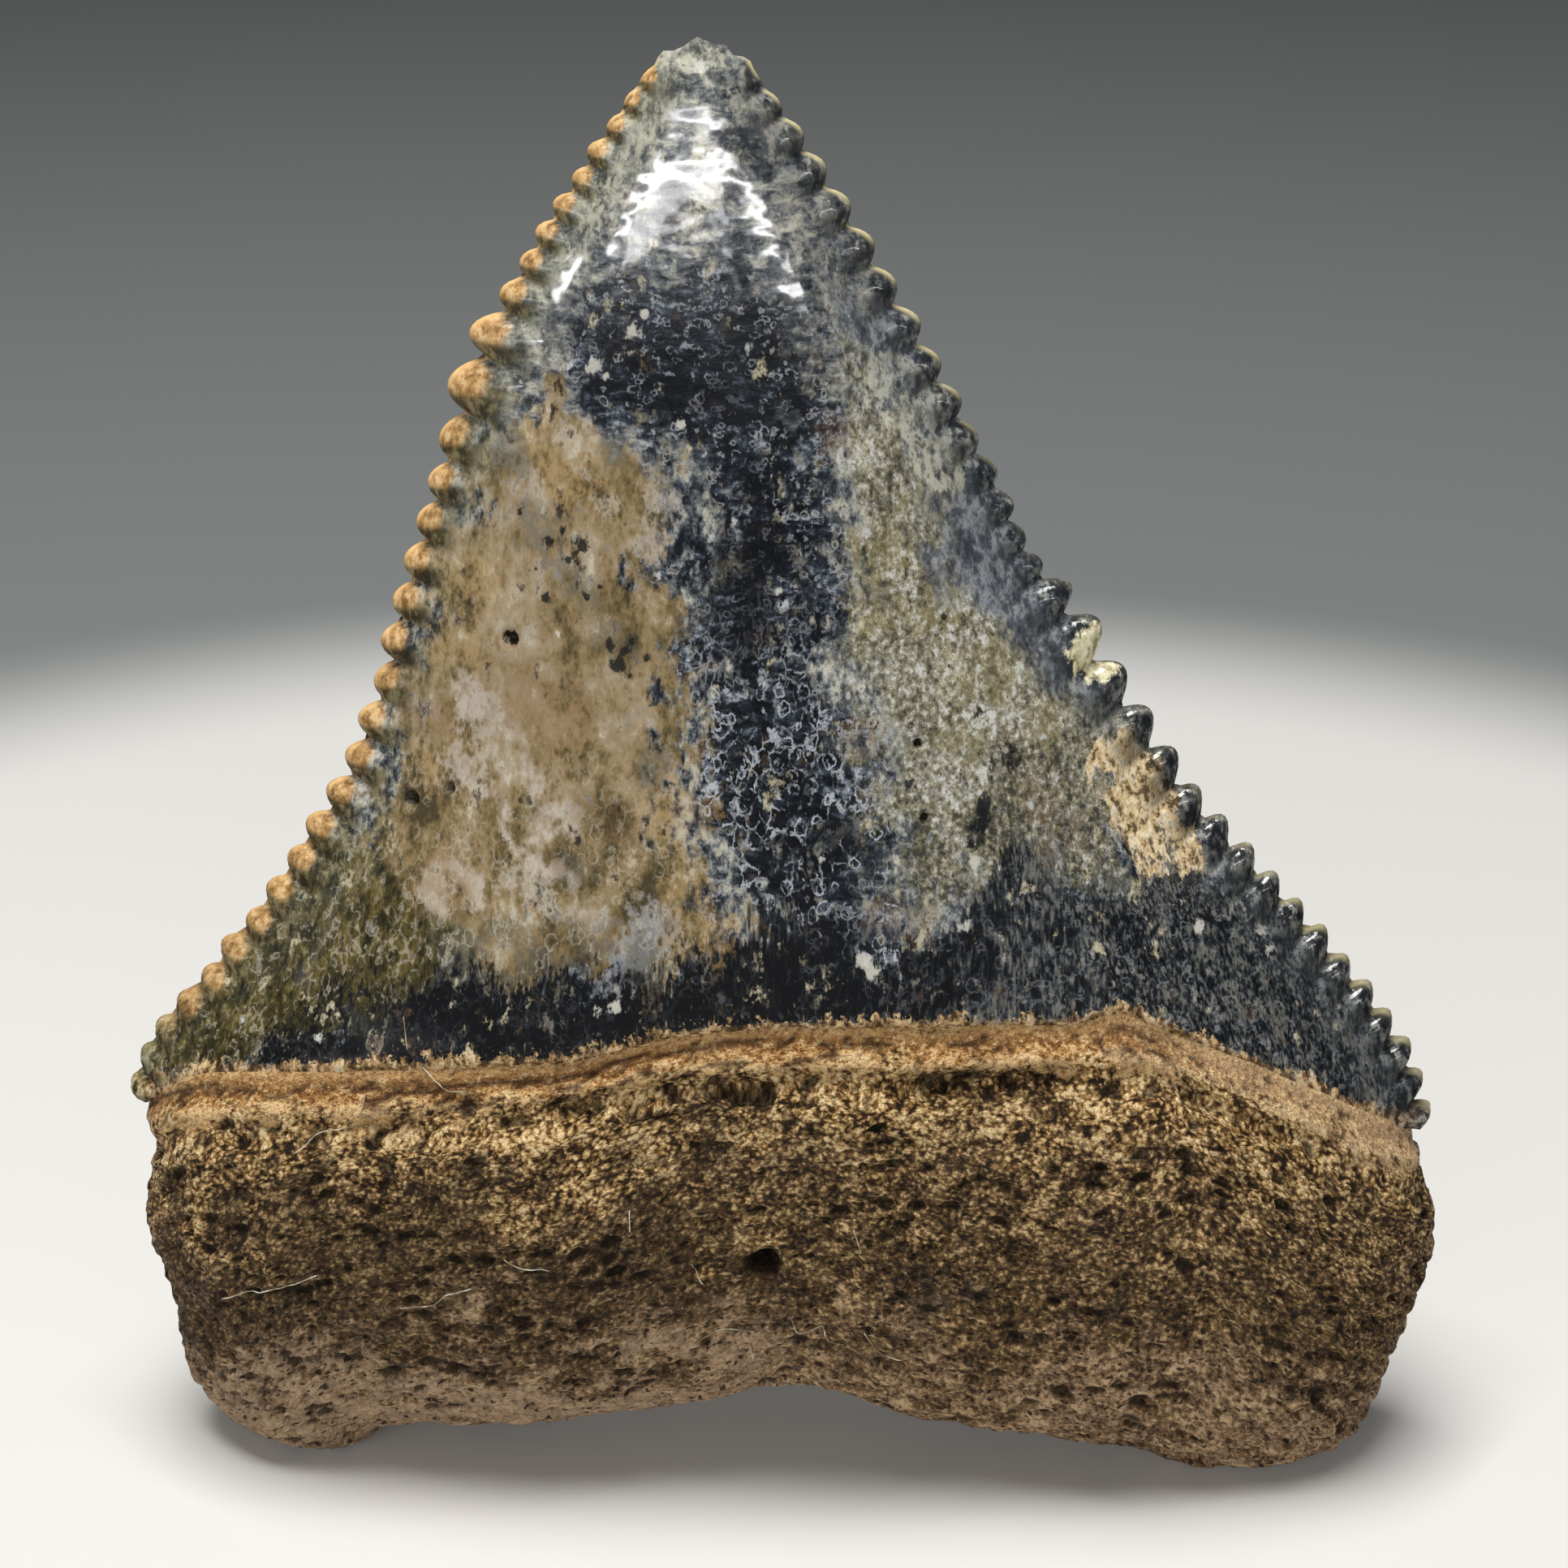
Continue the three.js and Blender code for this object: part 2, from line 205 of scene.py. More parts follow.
WHITE_SPECKS = [
    (-4.8, 14.65, 0.16), (-4.4, 14.8, 0.18), (2.3, 15.8, 0.2), (4.6, 16.85, 0.16), (4.8, 18.5, 0.2),
    (-3.65, 31.9, 0.2), (-3.35, 32.3, 0.12), (-4.66, 31.0, 0.18), (-4.35, 30.8, 0.1), (-2.5, 29.7, 0.1),
    (2.0, 16.1, 0.18), (-12.2, 13.2, 0.14), (10.9, 15.9, 0.14), (12.6, 15.4, 0.16), (12.9, 14.9, 0.14),
    (-0.1, 25.6, 0.11), (1.6, 22.9, 0.1), (-3.1, 26.0, 0.1), (-5.6, 24.3, 0.09), (0.9, 18.8, 0.1),
    (6.1, 22.2, 0.08), (9.9, 15.2, 0.1),
]
# Soft patches of colour on the enamel (x, height, radius)
SOFT_PATCHES = {
    "amber": [
        (-5.4, 28.3, 1.0), (-8.2, 25.3, 0.9), (-8.5, 23.7, 0.7), (-2.6, 19.9, 0.8), (-2.5, 18.3, 0.6),
        (-2.2, 16.7, 0.7), (-9.4, 20.3, 0.6),
    ],
    "umber": [(-6.6, 22.4, 1.0), (-5.6, 22.1, 0.8), (-9.1, 21.6, 0.6), (-8.9, 17.6, 0.7)],
    "smoke": [
        (-5.0, 25.4, 0.5), (-5.2, 18.1, 0.5), (-6.0, 26.8, 0.6), (-6.8, 28.7, 0.5), (-4.3, 24.3, 0.5),
        (-7.0, 16.5, 0.6), (-3.4, 21.0, 0.5), (-8.6, 27.2, 0.5), (-4.2, 28.9, 0.3), (-8.5, 15.9, 0.6),
        (-5.0, 16.6, 0.6), (-6.6, 15.9, 0.5), (-3.6, 16.0, 0.5),
    ],
    "haze": [
        (-7.7, 21.9, 0.6), (-2.8, 27.9, 0.5), (-7.9, 20.6, 0.7), (-6.4, 17.7, 0.6), (-7.0, 28.9, 0.4),
        (-5.2, 29.2, 0.5), (-6.3, 28.0, 0.35), (-4.3, 27.6, 0.3), (-3.3, 26.9, 0.4),
    ],
    "rust": [
        (-4.8, 19.7, 0.5), (-4.0, 19.4, 0.4), (2.6, 17.3, 0.6), (3.3, 17.1, 0.5), (1.3, 29.4, 0.5),
        (-3.3, 28.4, 0.14), (1.8, 22.0, 0.3), (2.0, 21.6, 0.3), (6.4, 19.8, 0.6), (7.1, 18.8, 0.5),
    ],
    "straw": [
        (3.5, 27.8, 0.8), (2.5, 26.3, 0.7), (2.3, 25.2, 0.6), (5.2, 23.1, 0.8), (4.4, 21.4, 0.6),
        (3.9, 24.8, 0.6), (6.6, 21.6, 0.6),
    ],
    "ink": [
        (-0.9, 26.4, 0.8), (-1.0, 25.0, 0.7), (-1.3, 30.2, 0.6), (-1.2, 31.6, 0.45), (-0.9, 28.4, 0.5),
        (1.5, 16.9, 0.5), (5.1, 19.3, 0.4), (5.7, 20.9, 0.35), (-0.9, 36.1, 0.6), (-2.9, 37.5, 0.25),
        (1.4, 19.4, 0.5), (-7.9, 29.8, 0.3),
    ],
    "ivory": [
        (-3.9, 36.2, 0.6), (-4.7, 34.7, 0.6), (-3.2, 37.1, 0.4), (-5.3, 33.4, 0.4), (4.3, 30.2, 0.4),
        (-2.0, 38.1, 0.3), (-0.9, 37.2, 0.3), (3.2, 29.6, 0.7), (3.9, 28.4, 0.6), (2.4, 30.6, 0.5),
    ],
    "chip": [(8.05, 23.1, 0.62)],
}
STAIN_DRIFT = 0.7
STAIN_LIMIT = 8
LILAC_REACH = 0.2
SLATE_HEIGHTS = (21.8, 32.5)
ENAMEL_PITS = [
    (-6.9, 24.0, 0.2), (-9.7, 19.4, 0.22), (-8.6, 19.9, 0.14), (3.6, 19.7, 0.14), (3.4, 21.6, 0.12),
]

# Thin lights low in front, which the arched glare near the tip mirrors, in metres and watts
TIP_TARGET = (-0.002, 0, 0.035)
TIP_STRIPS = [
    ("front left strip", (-0.2815, -0.2106, 0.119), (-0.0507, -0.3466, 0.1216), 0.013, 0.14),
    ("front right strip", (-0.0507, -0.3466, 0.1216), (0.2322, -0.2601, 0.1049), 0.013, 0.15),
    ("far left strip", (-0.323, -0.1396, 0.1148), (-0.3298, -0.1226, 0.0729), 0.009, 0.035),
    ("front middle light", (-0.243, -0.2675, 0.103), (0.079, -0.351, 0.103), 0.036, 0.16),
]

# Pale lint fibres on the front, each a line through (x, height)
LINT_PATHS = [
    [(-10.1, 6.5), (-9.3, 6.6), (-8.8, 7.0), (-8.2, 7.2)], [(-7.3, 8.1), (-6.8, 7.9), (-6.1, 7.8)],
    [(-15.0, 6.1), (-13.6, 6.7), (-12.3, 7.3)], [(-12.8, 10.5), (-11.9, 11.1), (-10.9, 11.3)],
    [(-9.4, 12.8), (-8.7, 12.3), (-8.0, 12.3)], [(-10.9, 12.1), (-11.0, 11.7), (-10.7, 11.5)],
    [(-2.4, 5.3), (-1.6, 5.9), (-0.8, 5.8)], [(-4.0, 9.6), (-4.0, 9.0)], [(-2.4, 8.1), (-2.1, 7.4)],
    [(0.2, 6.4), (0.4, 5.9), (1.0, 6.2), (1.1, 5.8)], [(2.1, 6.0), (2.5, 5.3), (3.1, 5.0)],
    [(-1.0, 5.8), (-0.8, 4.7)], [(1.8, 9.2), (2.0, 8.5)], [(-9.9, 14.0), (-9.8, 13.2)],
]
LINT_RADIUS = 0.017
LINT_STEPS = 14
LINT_DROP_Y = -20

# Camera, lights and floor, in metres, watts and degrees
CAMERA_PLACE = (0, -0.07415, 0.0515)
CAMERA_TILT = 67
CAMERA_LENS = 72.1
SOFTBOX_PLACE = (-0.02, -0.03, 0.26)
SOFTBOX_TARGET = (0, 0, 0.02)
SOFTBOX_SIZE = (0.14, 0.14)
SOFTBOX_WATTS = 0.8
SOFTBOX_COLOUR = (1.0, 0.985, 0.96)
STUDIO_COLOUR = (0.09, 0.092, 0.095, 1)
FLOOR_WIDTH = 1.6

# Mesh sizes: columns across and rows up each sheet
COARSE = 1
CROWN_ROWS = 256 // COARSE
CROWN_FRONT_COLUMNS = 300 // COARSE
CROWN_BACK_COLUMNS = 84 // COARSE
ROOT_ROWS = 148 // COARSE
ROOT_COLUMNS = 330 // COARSE
COLUMN_CROWDING = 0.5
SEAM_REACH = 1e-7

# How the crown's lip and the root's collar close, by place up the sheet
LIP_UP = [0, 0.008, 0.014, 0.02, 0.028, 0.036]
LIP_DROP = [0.02, 0.02, 0.013, 0.0064, 0.002, 0]
LIP_DEPTH = [0, 0.6, 0.86, 0.95, 0.985, 1]
LIP_ROW = 0.004
CROWN_POLE = (-0.2, 1.0, 10.5)
COLLAR_UP = [0.9, 0.93, 0.965, 1]
COLLAR_DEPTH = [1, 0.9, 0.5, 0]
COLLAR_TOP_ROW = 0.4
COLLAR_INSET = 0.06
COLLAR_DEPTH_ROW = 0.352
FOOT_ROUNDING = 0.5
BOX_GAP = 0.005


def along(points, key):
    """Smooth value between (key, value) points, without overshoot"""
    keys, values = (np.array(column, float) for column in zip(*points))
    key = np.clip(key, keys[0], keys[-1])
    steps = np.diff(values) / np.diff(keys)
    slopes = np.empty(len(keys))
    slopes[0], slopes[-1] = steps[0], steps[-1]
    before, after = steps[:-1], steps[1:]
    total = np.where(before + after == 0, 1, before + after)
    slopes[1:-1] = np.where(before * after > 0, 2 * before * after / total, 0)
    i = np.clip(np.searchsorted(keys, key) - 1, 0, len(keys) - 2)
    span = keys[i + 1] - keys[i]
    f = (key - keys[i]) / span
    g = 1 - f
    return (values[i] * g * g * (1 + 2 * f) + values[i + 1] * f * f * (1 + 2 * g)
            + span * f * g * (g * slopes[i] - f * slopes[i + 1]))


def ease(value, low, high):
    f = np.clip((value - low) / (high - low), 0, 1)
    return f * f * (3 - 2 * f)


def fractal(points, size, octaves=3, seed=0.0):
    """Cloudy noise, about -1 to 1, with features of the given size (one number or three)"""
    shifted = points / np.asarray(size, float) + seed
    return np.array([noise.fractal(Vector(p), 1.0, 2.0, octaves) for p in shifted.tolist()])


def cells(points, size, seed=0.0):
    """Distance to the nearest cell middle, in cells"""
    shifted = points / np.asarray(size, float) + seed
    return np.array([noise.voronoi(Vector(p))[0][0] for p in shifted.tolist()])


def line_distance(points, path):
    """Distance of each point from a line of straight steps, seen from the front"""
    spots = points[:, [0, 2]]
    nearest = np.full(len(points), np.inf)
    for start, end in zip(path[:-1], path[1:]):
        start, step = np.array(start, float), np.subtract(end, start)
        share = np.clip((spots - start) @ step / (step @ step), 0, 1)
        nearest = np.minimum(nearest, np.hypot(*(spots - start - share[:, None] * step).T))
    return nearest


def inside_outline(points, outline):
    """How far each point is inside an outline, seen from the front, and minus that outside"""
    x, z = points[:, 0], points[:, 2]
    closed = outline + outline[:1]
    crossed = np.zeros(len(points), bool)
    for (x0, z0), (x1, z1) in zip(closed[:-1], closed[1:]):
        spans = (z0 > z) != (z1 > z)
        crossing = x0 + (z - z0) * (x1 - x0) / (z1 - z0 if z1 != z0 else 1)
        crossed ^= spans & (x < crossing)
    return np.where(crossed, 1, -1) * line_distance(points, closed)


def root_swell(x, z):
    broad = np.sin(0.62 * x + 0.5 * z + 0.6) * np.sin(0.55 * z - 0.18 * x + 1.1)
    small = np.sin(1.7 * x - 0.9 * z) * np.sin(1.3 * z + 0.7 * x + 0.4)
    return 0.17 * broad + 0.07 * small


def lobe_steps(x, z):
    on_lobe = ease(x, 12.5, 15.5) * (1 - ease(z, 7.5, 10))
    phase = 0.42 * (x + 0.75 * z)
    return 0.22 * on_lobe * (phase - np.floor(phase) - 0.5)


def body_surface(front, across, row, depth):
    """Points of the tooth's front or back, in mm, with the given greatest depth at each row"""
    u = 2 * across - 1
    base = along(BASE_ARCH, u * BASE_HALF_WIDTH)
    border = along(ENAMEL_BORDER, u * BORDER_HALF_WIDTH)
    in_root = base + (border - base) * row / JUNCTION_ROW
    in_crown = border + (CROWN_TOP - border) * (row - JUNCTION_ROW) / (1 - JUNCTION_ROW)
    z = np.where(row < JUNCTION_ROW, in_root, in_crown)
    left = along(LEFT_MARGIN, z)
    x = left + (along(RIGHT_MARGIN, z) - left) * across
    crown = along(FRONT_THINNING if front else BACK_THINNING, row)
    lens = np.maximum(0, 1 - np.abs(u) ** CROWN_LENS[0]) ** CROWN_LENS[1]
    slab = np.sqrt(np.maximum(0, 1 - np.abs(u) ** ROOT_SLAB_BLUNTNESS))
    rise = np.clip(1 - (z - base) / BASE_ROUNDING, 0, 1)
    rounding = np.sqrt(np.maximum(0, 1 - rise ** BASE_BLUNTNESS))
    share = (slab + (lens - slab) * crown) * rounding
    swell = (1 - crown) * (root_swell(x, z) + (lobe_steps(x, z) if front else 0))
    root_side = 1 - ease(row, 0.1, JUNCTION_ROW + 0.04)
    middle = CUTTING_PLANE_Y - root_side * (ROOT_FORWARD + ROOT_TWIST * x)
    reach = (depth + swell) * share
    y = middle - reach if front else middle + reach
    return np.stack([x, y, z], axis=-1)


def within_margins(x, z):
    """Distance inside the nearer side margin, without its serrations"""
    return np.minimum(x - along(LEFT_MARGIN, z), along(RIGHT_MARGIN, z) - x)


def slope_at(margin, z):
    return (along(margin, z + 0.3) - along(margin, z - 0.3)) / 0.6


def serration_ends(margin, pitch_points, count):
    """Heights of the grooves between the serrations down a margin, and each one's spacing"""
    heights, pitches = [], []
    z = EDGE_START
    for number in range(count):
        pitch = float(along(pitch_points, number))
        heights.append(z)
        pitches.append(pitch)
        z -= pitch / math.hypot(float(slope_at(margin, z)), 1)
    heights, pitches = np.array(heights), np.array(pitches)
    middles = (heights[:-1] + heights[1:]) / 2
    first = 2 * heights[0] - middles[0]
    last = 2 * heights[-1] - middles[-1]
    return np.concatenate([[first], middles, [last]]), pitches


def uneven_wear(number, side):
    """Size left by wear, 0.86 to 1.14, the same each time for a serration"""
    return 0.86 + 0.28 * np.modf(np.abs(np.sin(number * 12.9898 + side) * 43758.5453))[0]


def serrations(margin, side, pitch_points, count, reach_points, lean_points, sharpness, points):
    """One cutting edge at each point: its move in x and z, its relief, knob, rim and underside; the rim, kept
    to the upper side, is partly painted highlight, and the underside is painted shade, partly stain
    """
    x, z = points[:, 0], points[:, 2]
    slope = slope_at(margin, z)
    length = np.hypot(slope, 1)
    inside = np.maximum(side * (along(margin, z) - x) / length, 0)
    outward_x, outward_z = side / length, -side * slope / length
    foot = z + inside * outward_z
    ends, pitches = serration_ends(margin, pitch_points, count)
    number = np.clip(np.searchsorted(-ends, -foot) - 1, 0, count - 1)
    middle = (ends[number] + ends[number + 1]) / 2
    offset = 2 * (foot - middle) / (ends[number] - ends[number + 1])
    on_edge = ease(foot, ends[-1] - 0.1, ends[-1] + 0.1) * (1 - ease(foot, ends[0] - 0.1, ends[0] + 0.1))
    knob = np.clip(1 - np.abs(offset) ** 2, 0, 1) ** sharpness * on_edge
    wear = uneven_wear(number, side)
    size = pitches[number]
    fade = np.exp(-(inside / (KNOB_FADE * size)) ** 2)
    strength = knob * wear * size * fade
    reach, lean = along(reach_points, number), along(lean_points, number)
    tipward_x, tipward_z = slope / length, 1 / length
    move_x = strength * (reach * outward_x + lean * tipward_x)
    move_z = strength * (reach * outward_z + lean * tipward_z)
    edge_round = np.sqrt(np.clip(inside / (KNOB_ROUNDING * size), 0, 1))
    stem = 1 - ease(inside, 0.05 * size, STEM_LENGTH[side > 0] * size)
    relief = KNOB_RELIEF * size * wear * knob * edge_round * stem
    near = (1 - ease(inside, 0.1 * size, 0.5 * size)) * on_edge
    # The rim keeps to each knob's upper, tipward side: partly its pale edge, partly painted highlight
    rim = (1 - ease(inside, 0, RIM_WIDTH * size)) * on_edge * ease(offset, -0.5, 0.3)
    # The underside mask is painted shade under each knob, partly a darker stain
    slanted = offset - 1.3 * inside / size
    under = (1 - ease(slanted, -0.65, -0.2)) * (1 - ease(inside, 0.3 * size, 0.75 * size)) * on_edge
    under *= ease(offset, -1, -0.75)
    return move_x, move_z, relief, knob * near, rim, under


def new_sheet(name, columns, rows):
    """A flat grid one unit wide and high, with its points' places across and up"""
    bpy.ops.object.select_all(action="DESELECT")
    bpy.ops.mesh.primitive_grid_add(x_subdivisions=columns, y_subdivisions=rows, size=1)
    sheet = bpy.context.object
    sheet.name = name
    flat = np.round(read_points(sheet) + 0.5, 6)
    return sheet, flat[:, 0], flat[:, 1]


def read_points(piece):
    places = np.empty(len(piece.data.vertices) * 3, np.float32)
    piece.data.vertices.foreach_get("co", places)
    return places.reshape(-1, 3).astype(float)


def write_points(piece, points):
    piece.data.vertices.foreach_set("co", points.astype(np.float32).ravel())
    piece.data.update()


def write_value(piece, name, values):
    """Stores one number a point, which the materials read"""
    layer = piece.data.attributes.get(name) or piece.data.attributes.new(name, "FLOAT", "POINT")
    layer.data.foreach_set("value", np.asarray(values, np.float32))


def read_value(piece, name):
    values = np.empty(len(piece.data.vertices), np.float32)
    piece.data.attributes[name].data.foreach_get("value", values)
    return values.astype(float)


def read_normals(piece):
    normals = np.empty(len(piece.data.vertices) * 3, np.float32)
    piece.data.vertex_normals.foreach_get("vector", normals)
    return normals.reshape(-1, 3).astype(float)


def crowd(across):
    """Columns drawn towards both margins"""
    return across + (0.5 - 0.5 * np.cos(np.pi * across) - across) * COLUMN_CROWDING


def sewn(name, parts):
    """Sheets or tubes joined into one piece, its doubled points merged and its faces turned outward"""
    bpy.ops.object.select_all(action="DESELECT")
    for part in parts:
        part.select_set(True)
    bpy.context.view_layer.objects.active = parts[0]
    if parts[0].type == "CURVE":
        bpy.ops.object.convert(target="MESH")
    bpy.ops.object.join()
    bpy.ops.object.mode_set(mode="EDIT")
    bpy.ops.mesh.select_all(action="SELECT")
    bpy.ops.mesh.remove_doubles(threshold=SEAM_REACH)
    bpy.ops.mesh.normals_make_consistent(inside=False)
    bpy.ops.object.mode_set(mode="OBJECT")
    bpy.ops.object.shade_smooth()
    piece = bpy.context.object
    piece.name = name
    return piece


def back_border_row(across):
    """Row of the enamel's border on the flatter side, which rises to meet the other at the margins"""
    u = np.abs(2 * across - 1)
    return BACK_JUNCTION_ROW + (JUNCTION_ROW - BACK_JUNCTION_ROW) * ease(u, *BACK_BORDER_RISE)


def crown_sheet(front):
    columns = CROWN_FRONT_COLUMNS if front else CROWN_BACK_COLUMNS
    sheet, across, up = new_sheet("crown sheet", columns, CROWN_ROWS)
    across = crowd(across if front else 1 - across)
    border = LIP_ROW + (np.full_like(across, JUNCTION_ROW) if front else back_border_row(across))
    climb = np.clip((up - LIP_UP[-1]) / (1 - LIP_UP[-1]), 0, 1)
    row = border + (1 - border) * climb - np.interp(up, LIP_UP, LIP_DROP)
    table = FRONT_DEPTH if front else BACK_DEPTH
    least = JUNCTION_ROW if front else BACK_JUNCTION_ROW
    depth = along(table, np.maximum(row, least + LIP_ROW)) * np.interp(up, LIP_UP, LIP_DEPTH)
    bare = body_surface(front, across, row, depth)
    points = add_serrations(bare, front)
    points[up < 1e-6] = CROWN_POLE
    write_points(sheet, points * MM)
    for name, values in edge_masks(bare).items():
        write_value(sheet, name, values)
    write_value(sheet, "hem", (row - border) * CROWN_HEIGHT)
    write_value(sheet, "side", np.full(len(points), float(front)))
    return sheet


def add_serrations(points, front):
    """Moves the rim out into knobs and raises each knob's stem on the face"""
    moved = points.copy()
    for edge in (LEFT_EDGE, RIGHT_EDGE):
        move_x, move_z, relief, *_ = serrations(*edge, points)
        moved += np.stack([move_x, relief * (-1 if front else 0.8), move_z], axis=-1)
    for x, z in TIP_KNOBS:
        out = np.array([x - TIP_CENTRE[0], z - TIP_CENTRE[1]])
        out /= np.hypot(*out)
        away = np.hypot(points[:, 0] - x, points[:, 2] - z)
        swell = TIP_KNOB_SWELL * np.exp(-(away / TIP_KNOB_RADIUS) ** 2)
        moved[:, 0] += out[0] * swell
        moved[:, 2] += out[1] * swell
    return moved


def edge_masks(points):
    """Where the knobs of both cutting edges are, their outer rims, partly painted highlight, and their
    undersides, painted shade and partly stain
    """
    masks = np.zeros((3, len(points)))
    for edge in (LEFT_EDGE, RIGHT_EDGE):
        masks = np.maximum(masks, serrations(*edge, points)[-3:])
    return dict(zip(("knob", "rim", "under"), masks))


def root_sheet(front):
    sheet, across, up = new_sheet("root sheet", ROOT_COLUMNS, ROOT_ROWS)
    across = crowd(across if front else 1 - across)
    border = np.full_like(across, JUNCTION_ROW) if front else back_border_row(across)
    climb = up / COLLAR_UP[0]
    tuck = np.clip((up - COLLAR_UP[0]) / (1 - COLLAR_UP[0]), 0, 1)
    row = border * np.minimum(0.55 * climb + 0.45 * climb ** 2, 1) + (COLLAR_TOP_ROW - border) * tuck
    depth = along(FRONT_DEPTH if front else BACK_DEPTH, np.minimum(row, COLLAR_DEPTH_ROW if front else 1))
    depth -= 0 if front else 0.2 * ease(row, border - 0.02, border)
    depth *= np.interp(up, COLLAR_UP, COLLAR_DEPTH)
    points = body_surface(front, across, row, depth)
    points[:, 0] *= 1 - COLLAR_INSET * ease(up, COLLAR_UP[0], COLLAR_UP[1])
    points[:, 1] += (CUTTING_PLANE_Y - points[:, 1]) * ease(up, COLLAR_UP[2], 1)
    write_points(sheet, points * MM)
    u = 2 * across - 1
    height = along(ENAMEL_BORDER, u * BORDER_HALF_WIDTH) - along(BASE_ARCH, u * BASE_HALF_WIDTH)
    write_value(sheet, "below", (border - row) * height / JUNCTION_ROW)
    write_value(sheet, "flow", row / border)
    write_value(sheet, "side", np.full(len(points), float(front)))
    return sheet


def crown_stains(piece):
    """How far inside each stain of the enamel the crown's points are, in mm, and soft spots"""
    points = read_points(piece) / MM
    x, z = points[:, 0], points[:, 2]
    write_value(piece, "flank", 1 - ease(within_margins(x, z), 0.3, 1.7))
    drift = np.stack([fractal(points, 1.6, 4, seed) for seed in (2.2, 8.4)], axis=-1)
    points[:, [0, 2]] += STAIN_DRIFT * drift
    x, z = points[:, 0], points[:, 2]
    outlines = {
        "ochre": OCHRE_OUTLINE, "olive": OLIVE_OUTLINE, "moss": MOSS_OUTLINE, "cream": CREAM_OUTLINE,
        "drip": DRIP_OUTLINE,
    }
    stains = {name: inside_outline(points, outline) for name, outline in outlines.items()}
    stripe = np.minimum(x - along(STRIPE_LEFT, z), along(STRIPE_RIGHT, z) - x)
    stains["stripe"] = np.minimum(stripe, STRIPE_TOP - z)
    stains["band"] = along(BAND_TOP, x) - z
    slate = along(SLATE_EDGE, z) - along(RIGHT_MARGIN, z) + x
    stains["slate"] = np.min([slate, z - SLATE_HEIGHTS[0], SLATE_HEIGHTS[1] - z], axis=0)
    stains["lilac"] = LILAC_REACH - np.min([line_distance(points, path) for path in LILAC_PATHS], axis=0)
    for name, distance in stains.items():
        write_value(piece, name, np.clip(distance, -STAIN_LIMIT, STAIN_LIMIT))
    front = read_value(piece, "side")
    x, z = (read_points(piece) / MM)[:, [0, 2]].T
    spots_of = {"black_specks": BLACK_SPECKS, "white_specks": WHITE_SPECKS, "pits": ENAMEL_PITS}
    for name, spots in {**spots_of, **SOFT_PATCHES}.items():
        near = np.max([1 - np.hypot(x - sx, z - sz) / (2 * size) for sx, sz, size in spots], axis=0)
        write_value(piece, name, front * np.clip(near, 0, 1))


def crown_relief(piece):
    """Leathery waves near the tip, faint dents lower down, pits, and folds at the flatter side's base"""
    points, normals = read_points(piece) / MM, read_normals(piece)
    x, z = points[:, 0], points[:, 2]
    front = read_value(piece, "side")
    face = ease(within_margins(x, z), 0.2, 1.6)
    high = ease(z, 27, 33)
    lift = (CROWN_WAVE - TIP_WAVE_LOSS * high) * face * fractal(points, (3.0, 3.0, 3.4), 2, 3.1)
    lift += CROWN_DENT * face * high * fractal(points, (0.6, 0.6, 0.3), 3, 7.7)
    lift += CROWN_DENT * face * (1 - high) * fractal(points, (0.7, 0.7, 1.1), 3, 5.2)
    lift -= ENAMEL_PIT_DEPTH * ease(read_value(piece, "pits"), 0.35, 0.75)
    folds = np.sin(2.1 * x + 2.4 * fractal(points, (2.5, 2.5, 6.0), 2, 1.4))
    lift += BACK_FOLD * (1 - front) * face * folds * (1 - ease(z, 11, 17))
    write_points(piece, within_box(points + normals * lift[:, None]) * MM)


def within_box(points):
    """Points in mm, kept just inside the solid part's bounding box"""
    low, high = (np.array(list(corner)) / MM for corner in cad_box)
    return np.clip(points, low + [BOX_GAP, BOX_GAP, 0], high - BOX_GAP)


def root_pores(points, flow):
    """0 to 1: large pores in places, and small ones all over"""
    patchy = ease(fractal(points, (1.9, 1.9, 1.5), 2, 6.2), -0.35, 0.35)
    big = patchy * (1 - ease(cells(flow, (0.8, 0.8, 0.42), 1.9), 0.22, 0.5))
    small = 1 - ease(cells(flow, (0.42, 0.42, 0.27), 8.8), 0.2, 0.48)
    return np.maximum(0.9 * big, 0.55 * small)


def root_ledge(points, below):
    """The ledge under the band, and the gutter that undercuts it in places"""
    waver = fractal(points, (2.4, 2.4, 2.4), 3, 15.3)
    ledge = np.exp(-((below - 1.0 - 0.3 * waver) / 0.28) ** 2)
    gutter = np.exp(-((below - 1.6 - 0.3 * waver) / 0.2) ** 2)
    return LEDGE_HEIGHT * ledge - GUTTER_DEPTH * gutter * ease(waver, -0.3, 0.3)


def band_cracks(flow, below, band, front):
    """0 to 1: fine cracks in the band, and the long one through its left part"""
    crack = ease(0.09 - np.abs(fractal(flow, (2.6, 2.6, 0.5), 2, 5.9)), 0, 0.07)
    crack = band * crack * ease(below, 0.1, 0.3)
    seam = np.abs(below - 0.42 - 0.2 * fractal(flow, (1.4, 1.4, 4.0), 3, 6.6))
    broken_up = fractal(flow, (2.2, 2.2, 9.0), 2, 1.1) - 0.04 * (flow[:, 0] + 4)
    seam = front * (1 - ease(seam, 0.03, 0.11)) * ease(broken_up, -0.1, 0.2)
    return np.maximum(crack, seam)


